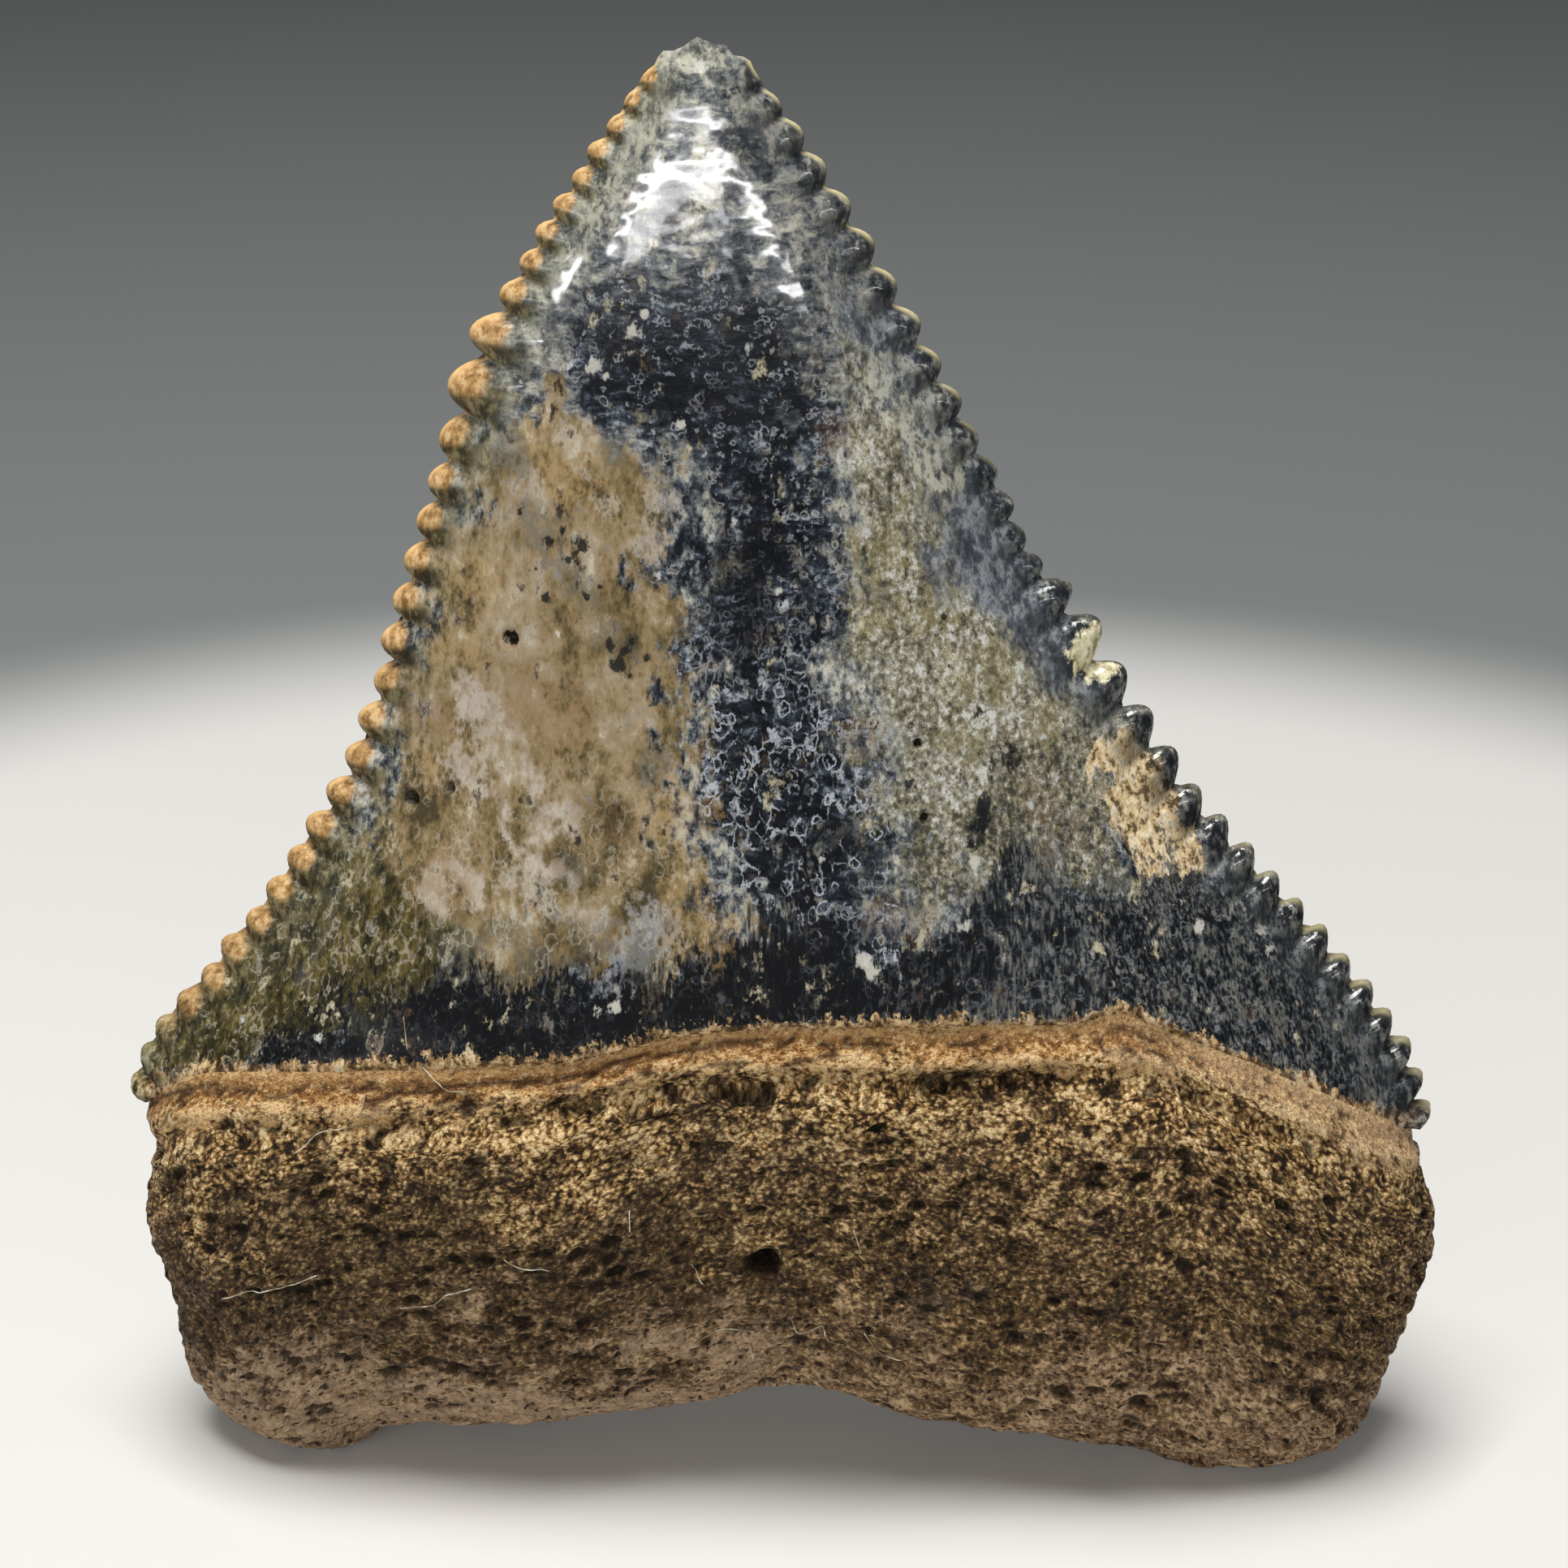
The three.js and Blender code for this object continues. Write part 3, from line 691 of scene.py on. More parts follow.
def root_hollows(points):
    """Depth of the feeding hole and of the hollows under the band"""
    x, z = points[:, 0], points[:, 2]
    ragged = 0.6 * fractal(points, (0.5, 0.5, 0.3), 3, 12.4)
    spread = ((x - FORAMEN[0]) ** 2 + (z - FORAMEN[1]) ** 2) / FORAMEN_RADIUS ** 2
    deep = FORAMEN_DEPTH * np.exp(-np.maximum(spread + 0.8 * ragged, 0) ** 1.5)
    for hollow_x, hollow_z, width in HOLLOWS:
        spread = ((x - hollow_x) / (0.5 * width)) ** 2 + ((z - hollow_z) / HOLLOW_HEIGHT) ** 2
        spread = np.maximum(spread + 1.3 * ragged, 0)
        deep = np.maximum(deep, HOLLOW_DEPTH * np.exp(-spread ** 1.5))
    return deep


def root_relief(piece):
    """Swells, pores, grooves and pits of the root, and its smoother cracked band under the enamel"""
    points, normals = read_points(piece) / MM, read_normals(piece)
    x, z = points[:, 0], points[:, 2]
    front, below = read_value(piece, "side"), read_value(piece, "below")
    band = 1 - ease(below, BAND_HEIGHT - 0.3, BAND_HEIGHT + 0.3)
    rough = (1 - band) * (below >= 0)
    flow = np.stack([x, points[:, 1], FLOW_RISE * read_value(piece, "flow")], axis=-1)
    flow[:, 2] += 0.55 * fractal(points, (4.5, 4.5, 4.5), 2, 2.6)
    lift = ROOT_LUMP * rough * fractal(flow, (1.3, 1.3, 0.5), 3, 9.3)
    lift += ROOT_GRIT * rough * fractal(flow, (0.45, 0.45, 0.3), 2, 4.4)
    pore = root_pores(points, flow)
    lift -= PORE_DEPTH * rough * pore
    lift += BAND_STREAK * band * fractal(flow, (1.6, 1.6, 0.25), 3, 3.3)
    lift += front * (below >= 0) * root_ledge(points, below)
    crack = band_cracks(flow, below, band, front)
    lift -= CRACK_DEPTH * crack
    deep = root_hollows(points) * front
    lift -= deep
    ridges = np.sin(7.5 * (x * 0.75 + z) + 1.5 * fractal(points, 1.5, 2, 0.7))
    on_lobe = ease(x, 12.6, 15) * (1 - ease(z, 8.6, 11)) * front
    lift += LOBE_RIDGE * rough * on_lobe * ridges
    shaped = points + normals * (lift - 0.05 * rough)[:, None]
    sinking = np.clip(shaped[:, 2] / FOOT_ROUNDING, -1, 1)
    settled = FOOT_ROUNDING * (sinking + 1) ** 2 / 4
    shaped[:, 2] = np.where(shaped[:, 2] < FOOT_ROUNDING, settled, shaped[:, 2])
    write_points(piece, within_box(shaped) * MM)
    stain = np.min([np.hypot(x - sx, z - sz) - size for sx, sz, size in ROOT_STAINS], axis=0)
    # The pore mask also darkens the feeding hole and the hollows under the band by their depth: painted shade
    # in these recesses
    write_value(piece, "pore", np.clip(pore * rough + 1.8 * deep, 0, 1))
    write_value(piece, "band", BAND_HEIGHT - below)
    write_value(piece, "stain", -np.where(front > 0.5, stain, STAIN_LIMIT))
    write_value(piece, "crack", crack)


def front_place(pieces, x, z):
    """The foremost point of the pieces at a place seen from the front, in mm"""
    start = Vector((x, LINT_DROP_Y, z)) * MM
    hits = [piece.ray_cast(start, Vector((0, 1, 0))) for piece in pieces]
    return x, min(place.y for found, place, *_ in hits if found) / MM, z


def lint_tube(pieces, path):
    """One fibre: a thin tube that lies on the surface along a path"""
    shares = np.linspace(0, len(path) - 1, LINT_STEPS)
    xs, zs = (along(list(enumerate(column)), shares) for column in zip(*path))
    points = np.array([front_place(pieces, x, z) for x, z in zip(xs, zs)])
    depths = np.pad(points[:, 1], 1, mode="edge")
    foremost = np.min([depths[:-2], depths[1:-1], depths[2:]], axis=0)
    points[:, 1] = np.maximum(foremost - LINT_RADIUS, cad_box[0][1] / MM + 2 * LINT_RADIUS)
    line = bpy.data.curves.new("lint line", "CURVE")
    line.dimensions = "3D"
    line.bevel_depth = LINT_RADIUS * MM
    line.bevel_resolution = 1
    line.use_fill_caps = True
    spline = line.splines.new("POLY")
    spline.points.add(LINT_STEPS - 1)
    for point, place in zip(spline.points, points * MM):
        point.co = (*place, 1)
    tube = bpy.data.objects.new("lint tube", line)
    bpy.context.collection.objects.link(tube)
    return tube


# Colours from 0 to 255, each at its place along a mottling noise from dark to light
TIP_TONES = [
    (0.40, 22, 25, 30), (0.45, 60, 66, 74), (0.49, 104, 108, 110), (0.53, 152, 152, 144),
    (0.60, 208, 204, 188),
]
BAND_TONES = [
    (0.42, 4, 6, 9), (0.51, 8, 10, 14), (0.57, 20, 23, 28), (0.61, 46, 50, 53), (0.67, 98, 98, 92),
]
# Rows of a zone: stain, mottling noise, edge noise, reach and softness of the ragged edge in mm, tones
ENAMEL_ZONES = [
    ("olive", "grainy", 0, 8.0, 0.8, [
        (0.40, 60, 59, 52), (0.45, 94, 91, 76), (0.49, 122, 116, 94), (0.53, 148, 143, 124),
        (0.60, 200, 201, 195),
    ]),
    ("ochre", "warm", 1, 7.0, 0.4, [
        (0.40, 70, 62, 42), (0.45, 112, 96, 64), (0.49, 138, 119, 86), (0.53, 154, 136, 108),
        (0.58, 166, 152, 130), (0.62, 180, 172, 158),
    ]),
    ("moss", "speckle", 0, 5.0, 0.6, [
        (0.40, 24, 24, 16), (0.47, 52, 48, 26), (0.53, 84, 74, 38), (0.59, 118, 106, 64),
        (0.66, 176, 170, 150),
    ]),
    ("lilac", "speckle", 2, 1.3, 0.16, [
        (0.40, 148, 130, 108), (0.50, 172, 158, 140), (0.60, 194, 186, 174),
    ]),
    # The navy stripe's pale leathery mottling is partly painted highlight on its crinkled relief
    ("stripe", "leathery", 2, 8.0, 0.6, [
        (0.43, 6, 8, 12), (0.50, 15, 19, 26), (0.55, 36, 42, 52), (0.59, 78, 86, 96),
        (0.64, 150, 156, 162),
    ]),
    ("slate", "speckle", 0, 4.0, 0.5, [(0.40, 56, 60, 68), (0.50, 92, 97, 104), (0.60, 150, 156, 162)]),
    ("cream", "fine", 1, 3.0, 0.15, [
        (0.38, 92, 78, 56), (0.44, 176, 152, 112), (0.52, 212, 188, 146), (0.62, 238, 222, 190),
    ]),
]
# Rows of a patch or speck: its places, colour, share, and for a patch its edge noise
PATCH_COLOURS = [
    ("amber", (178, 146, 94), 0.35, 0), ("umber", (138, 110, 78), 0.45, 1), ("haze", (182, 174, 162), 0.5, 2),
    ("straw", (160, 148, 102), 0.3, 0), ("rust", (98, 72, 46), 0.38, 1), ("smoke", (84, 84, 76), 0.55, 2),
    ("ivory", (216, 212, 190), 0.48, 0), ("ink", (9, 12, 18), 0.8, 1),
]
SPECK_COLOURS = [
    ("black_specks", (20, 23, 25), 0.92), ("white_specks", (206, 203, 192), 0.75),
    ("pits", (36, 28, 20), 1.0),
]
HEM_TONES = [(0.4, 70, 50, 30), (0.47, 128, 100, 66), (0.53, 166, 136, 94), (0.6, 212, 186, 144)]
LEFT_FLANK_TONES = [(0.38, 70, 74, 62), (0.5, 118, 118, 100), (0.62, 184, 182, 166)]
RIGHT_FLANK_TONES = [(0.4, 32, 36, 40), (0.5, 58, 63, 68), (0.6, 118, 123, 124)]
AMBER_TONES = [(0.36, 118, 88, 50), (0.5, 176, 137, 86), (0.64, 220, 186, 136)]
MOSSY_TONES = [(0.38, 38, 40, 26), (0.5, 88, 88, 60), (0.62, 162, 160, 130)]
DUSKY_TONES = [(0.4, 10, 12, 14), (0.5, 34, 37, 40), (0.57, 84, 86, 84), (0.64, 150, 148, 136)]
# Knob undersides on the left: painted shade, partly olive stain
PAINTED_SHADE_TONES = [(0.4, 34, 32, 20), (0.5, 66, 60, 36), (0.6, 112, 104, 74)]
CHIP_TONES = [(0.4, 150, 142, 108), (0.5, 200, 192, 154), (0.6, 228, 220, 188)]
LINT_TONES = [(0.4, 116, 103, 82), (0.5, 162, 151, 130), (0.6, 206, 199, 182)]
MIDDLE_TONES = [
    (0.35, 32, 21, 11), (0.42, 70, 51, 30), (0.49, 98, 75, 46), (0.56, 140, 112, 74),
    (0.64, 204, 174, 126),
]
FOOT_TONES = [
    (0.35, 58, 41, 26), (0.43, 110, 84, 59), (0.50, 146, 117, 87), (0.59, 196, 166, 130),
]
SHOULDER_TONES = [
    (0.35, 38, 24, 11), (0.42, 96, 68, 34), (0.48, 152, 117, 70), (0.55, 208, 172, 116),
    (0.62, 240, 214, 166),
]
LAYER_TONES = [
    (0.0, 204, 168, 118), (0.12, 184, 140, 86), (0.22, 112, 74, 38), (0.32, 156, 110, 60),
    (0.44, 198, 152, 96), (0.56, 238, 206, 156), (0.72, 214, 176, 122),
]
ROOT_BAND_TONES = [
    (0.38, 92, 54, 22), (0.45, 146, 98, 48), (0.50, 182, 134, 76), (0.55, 214, 172, 112),
    (0.60, 238, 208, 158),
]


DRIP_COLOUR = (156, 158, 162)
# Pale lace lines; where they are curls higher up, this colour is painted highlight
COOL_LACE = (190, 196, 204)
WARM_LACE = (196, 188, 168)
LACE_SPOT = (200, 202, 202)
# Painted shade under the knobs on the right
PAINTED_SHADE_RIGHT = (24, 26, 28)
# Pale rims on the knobs' upper side: partly their own colour, partly painted highlight
AMBER_RIM = (232, 188, 128)
MOSSY_RIM = (190, 176, 128)
CREAM_RIM = (226, 212, 164)
LEFT_SHADE = (54, 40, 24)
LEFT_FOOT = (176, 150, 122)
ROOT_STAIN = (46, 42, 34)
# Painted shade in the gaps between the root's crumbs
GAP_SHADE_COLOUR = (36, 25, 14)
# Pores, and painted shade in the feeding hole and the hollows under the band
PORE_AND_HOLLOW_SHADE = (26, 18, 10)
PIT_COLOUR = (24, 15, 9)
CRACK_COLOUR = (50, 28, 14)
BAND_DARK_GRAIN = (92, 56, 26)
BAND_PALE_GRAIN = (232, 202, 154)
BAND_PALE_END = (232, 206, 168)
# Floor colours: pale near the part, greying outward as partly painted falloff of light
FLOOR_PALE = (224, 223, 220)
FLOOR_GREY = (126, 130, 130)

# Finishes: refraction, roughness, heights of bumps in mm, and where the floor turns grey in mm
ENAMEL_IOR = 1.22
ENAMEL_BUMP = 0.09
COAT_ROUGHNESS = 0.1
COAT_IOR = 2.0
ROOT_IOR = 1.3
ROOT_BUMP = 0.27
LINT_ROUGHNESS = 0.75
FLOOR_ROUGHNESS = 0.55
FLOOR_FADE = (56.0, 74.0)


def linear_colour(red, green, blue):
    """A colour read as 0 to 255, in the linear values that the materials take"""
    shares = [value / 255 for value in (red, green, blue)]
    return tuple(s / 12.92 if s <= 0.04045 else ((s + 0.055) / 1.055) ** 2.4 for s in shares) + (1.0,)


def tree_of(values):
    """The node tree that the first socket among the values is in"""
    return next(value.id_data for value in values if isinstance(value, bpy.types.NodeSocket))


def feed(sockets, values):
    """Sets the named inputs to plain values, or links other nodes' outputs to them"""
    for name, value in values.items():
        if isinstance(value, bpy.types.NodeSocket):
            value.id_data.links.new(value, sockets[name])
        else:
            sockets[name].default_value = value


def node(kind, inputs, tree=None, **settings):
    """A shader node with its settings and inputs, in the tree given or else the one of its inputs"""
    made = (tree or tree_of(inputs.values())).nodes.new("ShaderNode" + kind)
    for name, value in settings.items():
        setattr(made, name, value)
    feed(made.inputs, inputs)
    return made


def calc(operation, *values):
    return node("Math", dict(enumerate(values)), operation=operation).outputs[0]


def part_of(mask, *shares):
    """The mask times each share"""
    for share in shares:
        mask = calc("MULTIPLY", mask, share)
    return mask


def added(value, share, base):
    return calc("MULTIPLY_ADD", value, share, base)


def outside(mask, share=1.0):
    """1 where the mask is 0, and less by the share where it is 1"""
    return calc("MULTIPLY_ADD", mask, -share, 1.0)


def broken(value, grain, reach, middle=0.5):
    """The value moved up and down by a grain around its middle"""
    return added(calc("SUBTRACT", grain, middle), reach, value)


def levels(value, low, high, share=1.0):
    """0 at the low value, the share at the high one, and an even bend between"""
    inputs = {0: value, 1: low, 2: high, 3: 0.0, 4: share}
    return node("MapRange", inputs, interpolation_type="SMOOTHSTEP").outputs[0]


def tinted(share, under, over):
    """The colour under, covered by the one over as far as share says; plain colours go from 0 to 255"""
    under, over = (linear_colour(*paint) if isinstance(paint, tuple) else paint for paint in (under, over))
    return node("Mix", {0: share, 6: under, 7: over}, data_type="RGBA").outputs[2]


def coated(colour, *coats):
    """A colour under coats, each a share and a colour"""
    for share, paint in coats:
        colour = tinted(share, colour, paint)
    return colour


def tinted_value(share, under, over):
    return node("Mix", {0: share, 2: under, 3: over}, data_type="FLOAT").outputs[0]


def tones(value, stops):
    """Colours that follow a value, from stops of a place and a colour"""
    ramp = node("ValToRGB", {0: value})
    elements = ramp.color_ramp.elements
    elements.remove(elements[1])
    elements[0].position = stops[0][0]
    elements[0].color = linear_colour(*stops[0][1:])
    for place, *colour in stops[1:]:
        elements.new(place).color = linear_colour(*colour)
    return ramp.outputs[0]


def attribute(tree, name):
    return node("Attribute", {}, tree, attribute_name=name).outputs["Fac"]


def millimetres(tree):
    """The object's own coordinates in millimetres"""
    place = node("TexCoord", {}, tree).outputs["Object"]
    return node("VectorMath", {0: place, 3: 1 / MM}, operation="SCALE").outputs[0]


def stretched(place, factors, shift=(0.0, 0.0, 0.0)):
    return node("VectorMath", {0: place, 1: factors, 2: shift}, operation="MULTIPLY_ADD").outputs[0]


def split(vector):
    return node("SeparateXYZ", {0: vector}).outputs


def cloud_node(place, per_mm, detail=4.0, roughness=0.55, distortion=0.0):
    inputs = {"Vector": place, "Scale": per_mm, "Detail": detail, "Roughness": roughness}
    return node("TexNoise", {**inputs, "Distortion": distortion}).outputs


def cloud(place, *settings):
    return cloud_node(place, *settings)[0]


def grain_parts(clouds):
    """Three grains that have nothing to do with each other, from a coloured noise"""
    return node("SeparateColor", {0: clouds}).outputs


def new_group(name, inputs, outputs):
    """An empty shader node group; inputs and outputs are (name, kind, default) rows"""
    tree = bpy.data.node_groups.new(name, "ShaderNodeTree")
    for direction, rows in (("INPUT", inputs), ("OUTPUT", outputs)):
        for label, kind, default in rows:
            socket = tree.interface.new_socket(label, in_out=direction, socket_type="NodeSocket" + kind)
            if default is not None:
                socket.default_value = default
    return tree, tree.nodes.new("NodeGroupInput").outputs, tree.nodes.new("NodeGroupOutput").inputs


def use_group(group, **inputs):
    """Places a node group; Per_mm=2 sets its input named Per mm"""
    placed = node("Group", {}, tree_of(inputs.values()), node_tree=group)
    feed(placed.inputs, {name.replace("_", " "): value for name, value in inputs.items()})
    return placed.outputs


def ragged_edge_group():
    """The inside of an outline, from the distance inside it in mm, with an edge broken up by a grain"""
    inputs = [
        ("Distance", "Float", 0.0), ("Grain", "Float", 0.5), ("Reach", "Float", 4.0),
        ("Softness", "Float", 0.3),
    ]
    tree, given, out = new_group("ragged edge", inputs, [("Mask", "Float", None)])
    shifted = broken(given["Distance"], given["Grain"], given["Reach"])
    low = calc("MULTIPLY", given["Softness"], -1.0)
    feed(out, {"Mask": levels(shifted, low, given["Softness"])})
    return tree


def zone(ragged, name, grain, reach, softness):
    """Where a piece's stain with this name is, with a ragged edge"""
    distance = attribute(grain.id_data, name)
    return use_group(ragged, Distance=distance, Grain=grain, Reach=reach, Softness=softness)[0]


def cell_marks_group():
    """Thin closed rings in some cells of a cell pattern, and filled spots in others"""
    inputs = [
        ("Place", "Vector", None), ("Per mm", "Float", 2.0), ("Width", "Float", 0.06),
        ("Rings", "Float", 0.6), ("Spots", "Float", 0.2),
    ]
    outputs = [("Rings", "Float", None), ("Spots", "Float", None)]
    tree, given, out = new_group("cell marks", inputs, outputs)
    cell = node("TexVoronoi", {"Vector": given["Place"], "Scale": given["Per mm"]})
    parts = grain_parts(cell.outputs["Color"])
    radius = added(parts[0], 0.2, 0.24)
    gap = calc("ABSOLUTE", calc("SUBTRACT", cell.outputs["Distance"], radius))
    ring = levels(gap, given["Width"], part_of(given["Width"], 0.3))
    ringed = calc("LESS_THAN", parts[1], given["Rings"])
    spot = levels(cell.outputs["Distance"], radius, part_of(radius, 0.5))
    spotted = calc("LESS_THAN", parts[2], given["Spots"])
    feed(out, {"Rings": part_of(ring, ringed), "Spots": part_of(spot, spotted)})
    return tree


def new_material(name):
    material = bpy.data.materials.new(name)
    material.use_nodes = True
    return material, material.node_tree, material.node_tree.nodes["Principled BSDF"].inputs


def enamel_grains(tree):
    """Where a point of the enamel is, in mm, and the noises that its colours and gloss follow"""
    place = millimetres(tree)
    axes = split(place)
    tall = stretched(place, (1.0, 1.0, 0.62))
    clouds = cloud_node(tall, 1.2, 5.0, 0.7)[1]
    return SimpleNamespace(
        tree=tree, place=place, x=axes[0], height=axes[2], clouds=clouds, parts=grain_parts(clouds),
        rightward=levels(axes[0], 2.5, 7.0), high=levels(axes[2], 28.0, 33.0),
        broad=cloud(place, 0.4, 2),
        fine=cloud(tall, 4.2, 3, 0.7),
        grainy=cloud(stretched(place, (1.0, 1.0, 0.85)), 5.4, 3, 0.75),
        leather=cloud(stretched(place, (0.8, 0.8, 1.6)), 2.2, 4, 0.72, 0.4),
        streak=cloud(stretched(place, (7.0, 7.0, 0.2)), 1.0, 3, 0.65),
        hair=cloud(stretched(place, (12.0, 12.0, 0.3)), 1.0, 2, 0.5),
    )


def enamel_zones(grain, ragged):
    """The stained zones over the grey ground near the tip, and where each one is; the leathery mottle's pale
    spots are partly painted highlight
    """
    lower = levels(grain.height, 22.0, 16.5)
    upper = levels(grain.height, 26.5, 29.5)
    fine_streaks = tinted_value(levels(grain.height, 19.0, 15.0, 0.6), grain.fine, grain.streak)
    warm = added(grain.parts[0], 0.45, part_of(fine_streaks, 0.25))
    grainy = added(grain.grainy, 0.62, part_of(grain.parts[1], 0.38))
    mottles = {
        "speckle": added(grain.parts[1], 0.45, part_of(fine_streaks, 0.55)),
        "warm": added(lower, -0.05, added(grain.broad, 0.3, warm)),
        "leathery": added(grain.leather, 0.5, part_of(grain.parts[2], 0.5)),
        "fine": grain.fine,
        "grainy": added(upper, 0.03, added(lower, -0.045, grainy)),
    }
    # Near the tip the colour follows the same leathery noise that raises the bump, so its pale spots are
    # partly painted highlight
    leathery = levels(grain.height, 27.0, 30.5)
    ground = tinted_value(leathery, mottles["speckle"], mottles["leathery"])
    colour = tones(ground, TIP_TONES)
    masks = {}
    for name, mottle, part, reach, softness, stops in ENAMEL_ZONES:
        masks[name] = zone(ragged, name, grain.parts[part], reach, softness)
        colour = tinted(masks[name], colour, tones(mottles[mottle], stops))
    return colour, masks


def base_band(grain, colour):
    """The black band over the root, drawn out upward in streaks, and where it is"""
    streaked = broken(attribute(grain.tree, "band"), grain.streak, 3.6, 0.46)
    streaked = broken(streaked, grain.hair, 2.0, 0.48)
    streaked = broken(streaked, grain.parts[1], added(grain.rightward, 3.0, 1.4), 0.48)
    band = levels(streaked, -0.35, 0.35)
    banded = added(grain.streak, 0.3, part_of(grain.parts[1], 0.35))
    banded = added(grain.rightward, 0.1, added(grain.hair, 0.35, banded))
    banded = added(levels(grain.x, 1.0, -3.0), -0.035, banded)
    return tinted(band, colour, tones(banded, BAND_TONES)), band


def hem_crumbs(grain, colour):
    """Crumbs and short strokes of the root's tan stone along the enamel's lower edge"""
    strokes = calc("MAXIMUM", calc("SUBTRACT", grain.hair, 0.64), 0.0)
    strokes = added(strokes, -7.0, attribute(grain.tree, "hem"))
    crumbs = broken(attribute(grain.tree, "hem"), grain.grainy, -1.2)
    crumbs = broken(crumbs, grain.parts[0], -1.6)
    hem = calc("MAXIMUM", levels(strokes, 0.08, 0.0, 0.4), levels(crumbs, 0.16, 0.06))
    return tinted(hem, colour, tones(grain.fine, HEM_TONES))


def soft_patches(grain, colour, masks):
    """Cloudy patches of other colours, whose places go into the masks"""
    for name, shade, share, part in PATCH_COLOURS:
        patch = broken(attribute(grain.tree, name), grain.parts[part], 2.6)
        patch = broken(patch, grain.fine, 1.7)
        grit = part_of(added(levels(grain.fine, 0.4, 0.56), 0.75, 0.35), share)
        masks[name] = part_of(levels(patch, 0.3, 0.7), grit)
        colour = tinted(masks[name], colour, shade)
    return colour


def lace_pattern(grain, bubbles, strayed, marks):
    """Rings and a foam network low down, and small curls higher up and on the right, which are painted
    crinkle highlights
    """
    foam_place = stretched(strayed, (1.0, 1.0, 0.68), (3.0, 1.0, 2.0))
    foam = node("TexVoronoi", {"Vector": foam_place, "Scale": 2.9}, feature="DISTANCE_TO_EDGE")
    in_places = levels(grain.parts[1], 0.44, 0.56)
    network = part_of(levels(foam.outputs[0], 0.085, 0.02), in_places)
    # The curls stand for small crinkle highlights, painted
    curl_place = stretched(strayed, (0.8, 0.8, 1.15))
    painted_curl_highlights = use_group(marks, Place=curl_place, Per_mm=3.8, Width=0.13, Rings=0.95, Spots=0.0)[0]
    painted_curl_highlights = part_of(painted_curl_highlights, levels(grain.fine, 0.44, 0.54), 0.8)
    curl_highlight_share = calc("MAXIMUM", levels(grain.height, 22.5, 26.5), levels(grain.x, 4.0, 8.0))
    return tinted_value(curl_highlight_share, calc("MAXIMUM", bubbles[0], network), painted_curl_highlights)


def lace_cover(grain, masks, band):
    """How much of the lace shows: most on the stripe, less lower down beside it, little on the band"""
    on_stripe = part_of(masks["stripe"], added(levels(grain.height, 26.0, 21.0), 0.3, 0.7))
    cover = calc("MAXIMUM", on_stripe, levels(grain.height, 25.0, 17.0, 0.5))
    on_band = part_of(band, added(grain.rightward, -0.55, 0.9))
    patchy = levels(grain.parts[2], 0.38, 0.52)
    return part_of(cover, patchy, outside(on_band), outside(masks["ink"], 0.8))


def enamel_lace(grain, colour, masks, band, marks):
    """White rings and foam lines left on the enamel, curls higher up that are painted crinkle highlights,
    spots, and where the lines are
    """
    strayed = stretched(grain.clouds, (0.7, 0.7, 0.7), grain.place)
    place = stretched(strayed, (1.0, 1.0, 0.78))
    bubbles = use_group(marks, Place=place, Per_mm=2.5, Width=0.075, Rings=0.8, Spots=0.1)
    lace = lace_pattern(grain, bubbles, strayed, marks)
    cover = lace_cover(grain, masks, band)
    lace = part_of(lace, cover, levels(grain.fine, 0.34, 0.5))
    warm = calc("MAXIMUM", masks["ochre"], masks["moss"])
    warm = part_of(warm, outside(masks["stripe"]))
    bare = outside(masks["ochre"], 0.75)
    spots = part_of(bubbles[1], bare, outside(band, 0.85), levels(grain.fine, 0.42, 0.56), 0.7)
    lace_colour = tinted(warm, COOL_LACE, WARM_LACE)
    return coated(colour, (part_of(lace, 0.75), lace_colour), (spots, LACE_SPOT)), lace


def specks(grain, colour):
    for name, shade, share in SPECK_COLOURS:
        speck = broken(attribute(grain.tree, name), grain.fine, 1.9)
        colour = tinted(levels(speck, 0.4, 0.72, share), colour, shade)
    return colour


def flank_colours(grain, colour, leftward, cream):
    """A dull strip inside each cutting edge"""
    strip = tinted(leftward, tones(grain.fine, RIGHT_FLANK_TONES), tones(grain.fine, LEFT_FLANK_TONES))
    left_share = added(levels(grain.height, 25.0, 28.5), 0.55, 0.45)
    left_share = part_of(levels(grain.height, 10.0, 20.0), left_share)
    share = tinted_value(leftward, 1.0, left_share)
    flank = part_of(attribute(grain.tree, "flank"), share, outside(cream, 0.85), 0.55)
    return tinted(flank, colour, strip)


def knob_colours(grain, colour, leftward, low_foot):
    """Amber knobs on the left, mossy at its foot, and dusky knobs on the right, with undersides darkened as
    painted shade, partly stain
    """
    amber = tinted(low_foot, tones(grain.fine, AMBER_TONES), tones(grain.fine, MOSSY_TONES))
    left_share = added(levels(grain.height, 9.0, 19.0, 0.4), 1.0, 0.55)
    knob = levels(attribute(grain.tree, "knob"), 0.2, 0.55)
    knob = part_of(knob, tinted_value(leftward, 0.7, left_share))
    under = levels(broken(attribute(grain.tree, "under"), grain.fine, 1.6), 0.1, 0.9)
    under = part_of(under, tinted_value(leftward, 0.6, 0.9))
    knob_colour = tinted(leftward, tones(grain.fine, DUSKY_TONES), amber)
    painted_shade_colour = tinted(leftward, PAINTED_SHADE_RIGHT, tones(grain.fine, PAINTED_SHADE_TONES))
    return coated(colour, (knob, knob_colour), (under, painted_shade_colour))


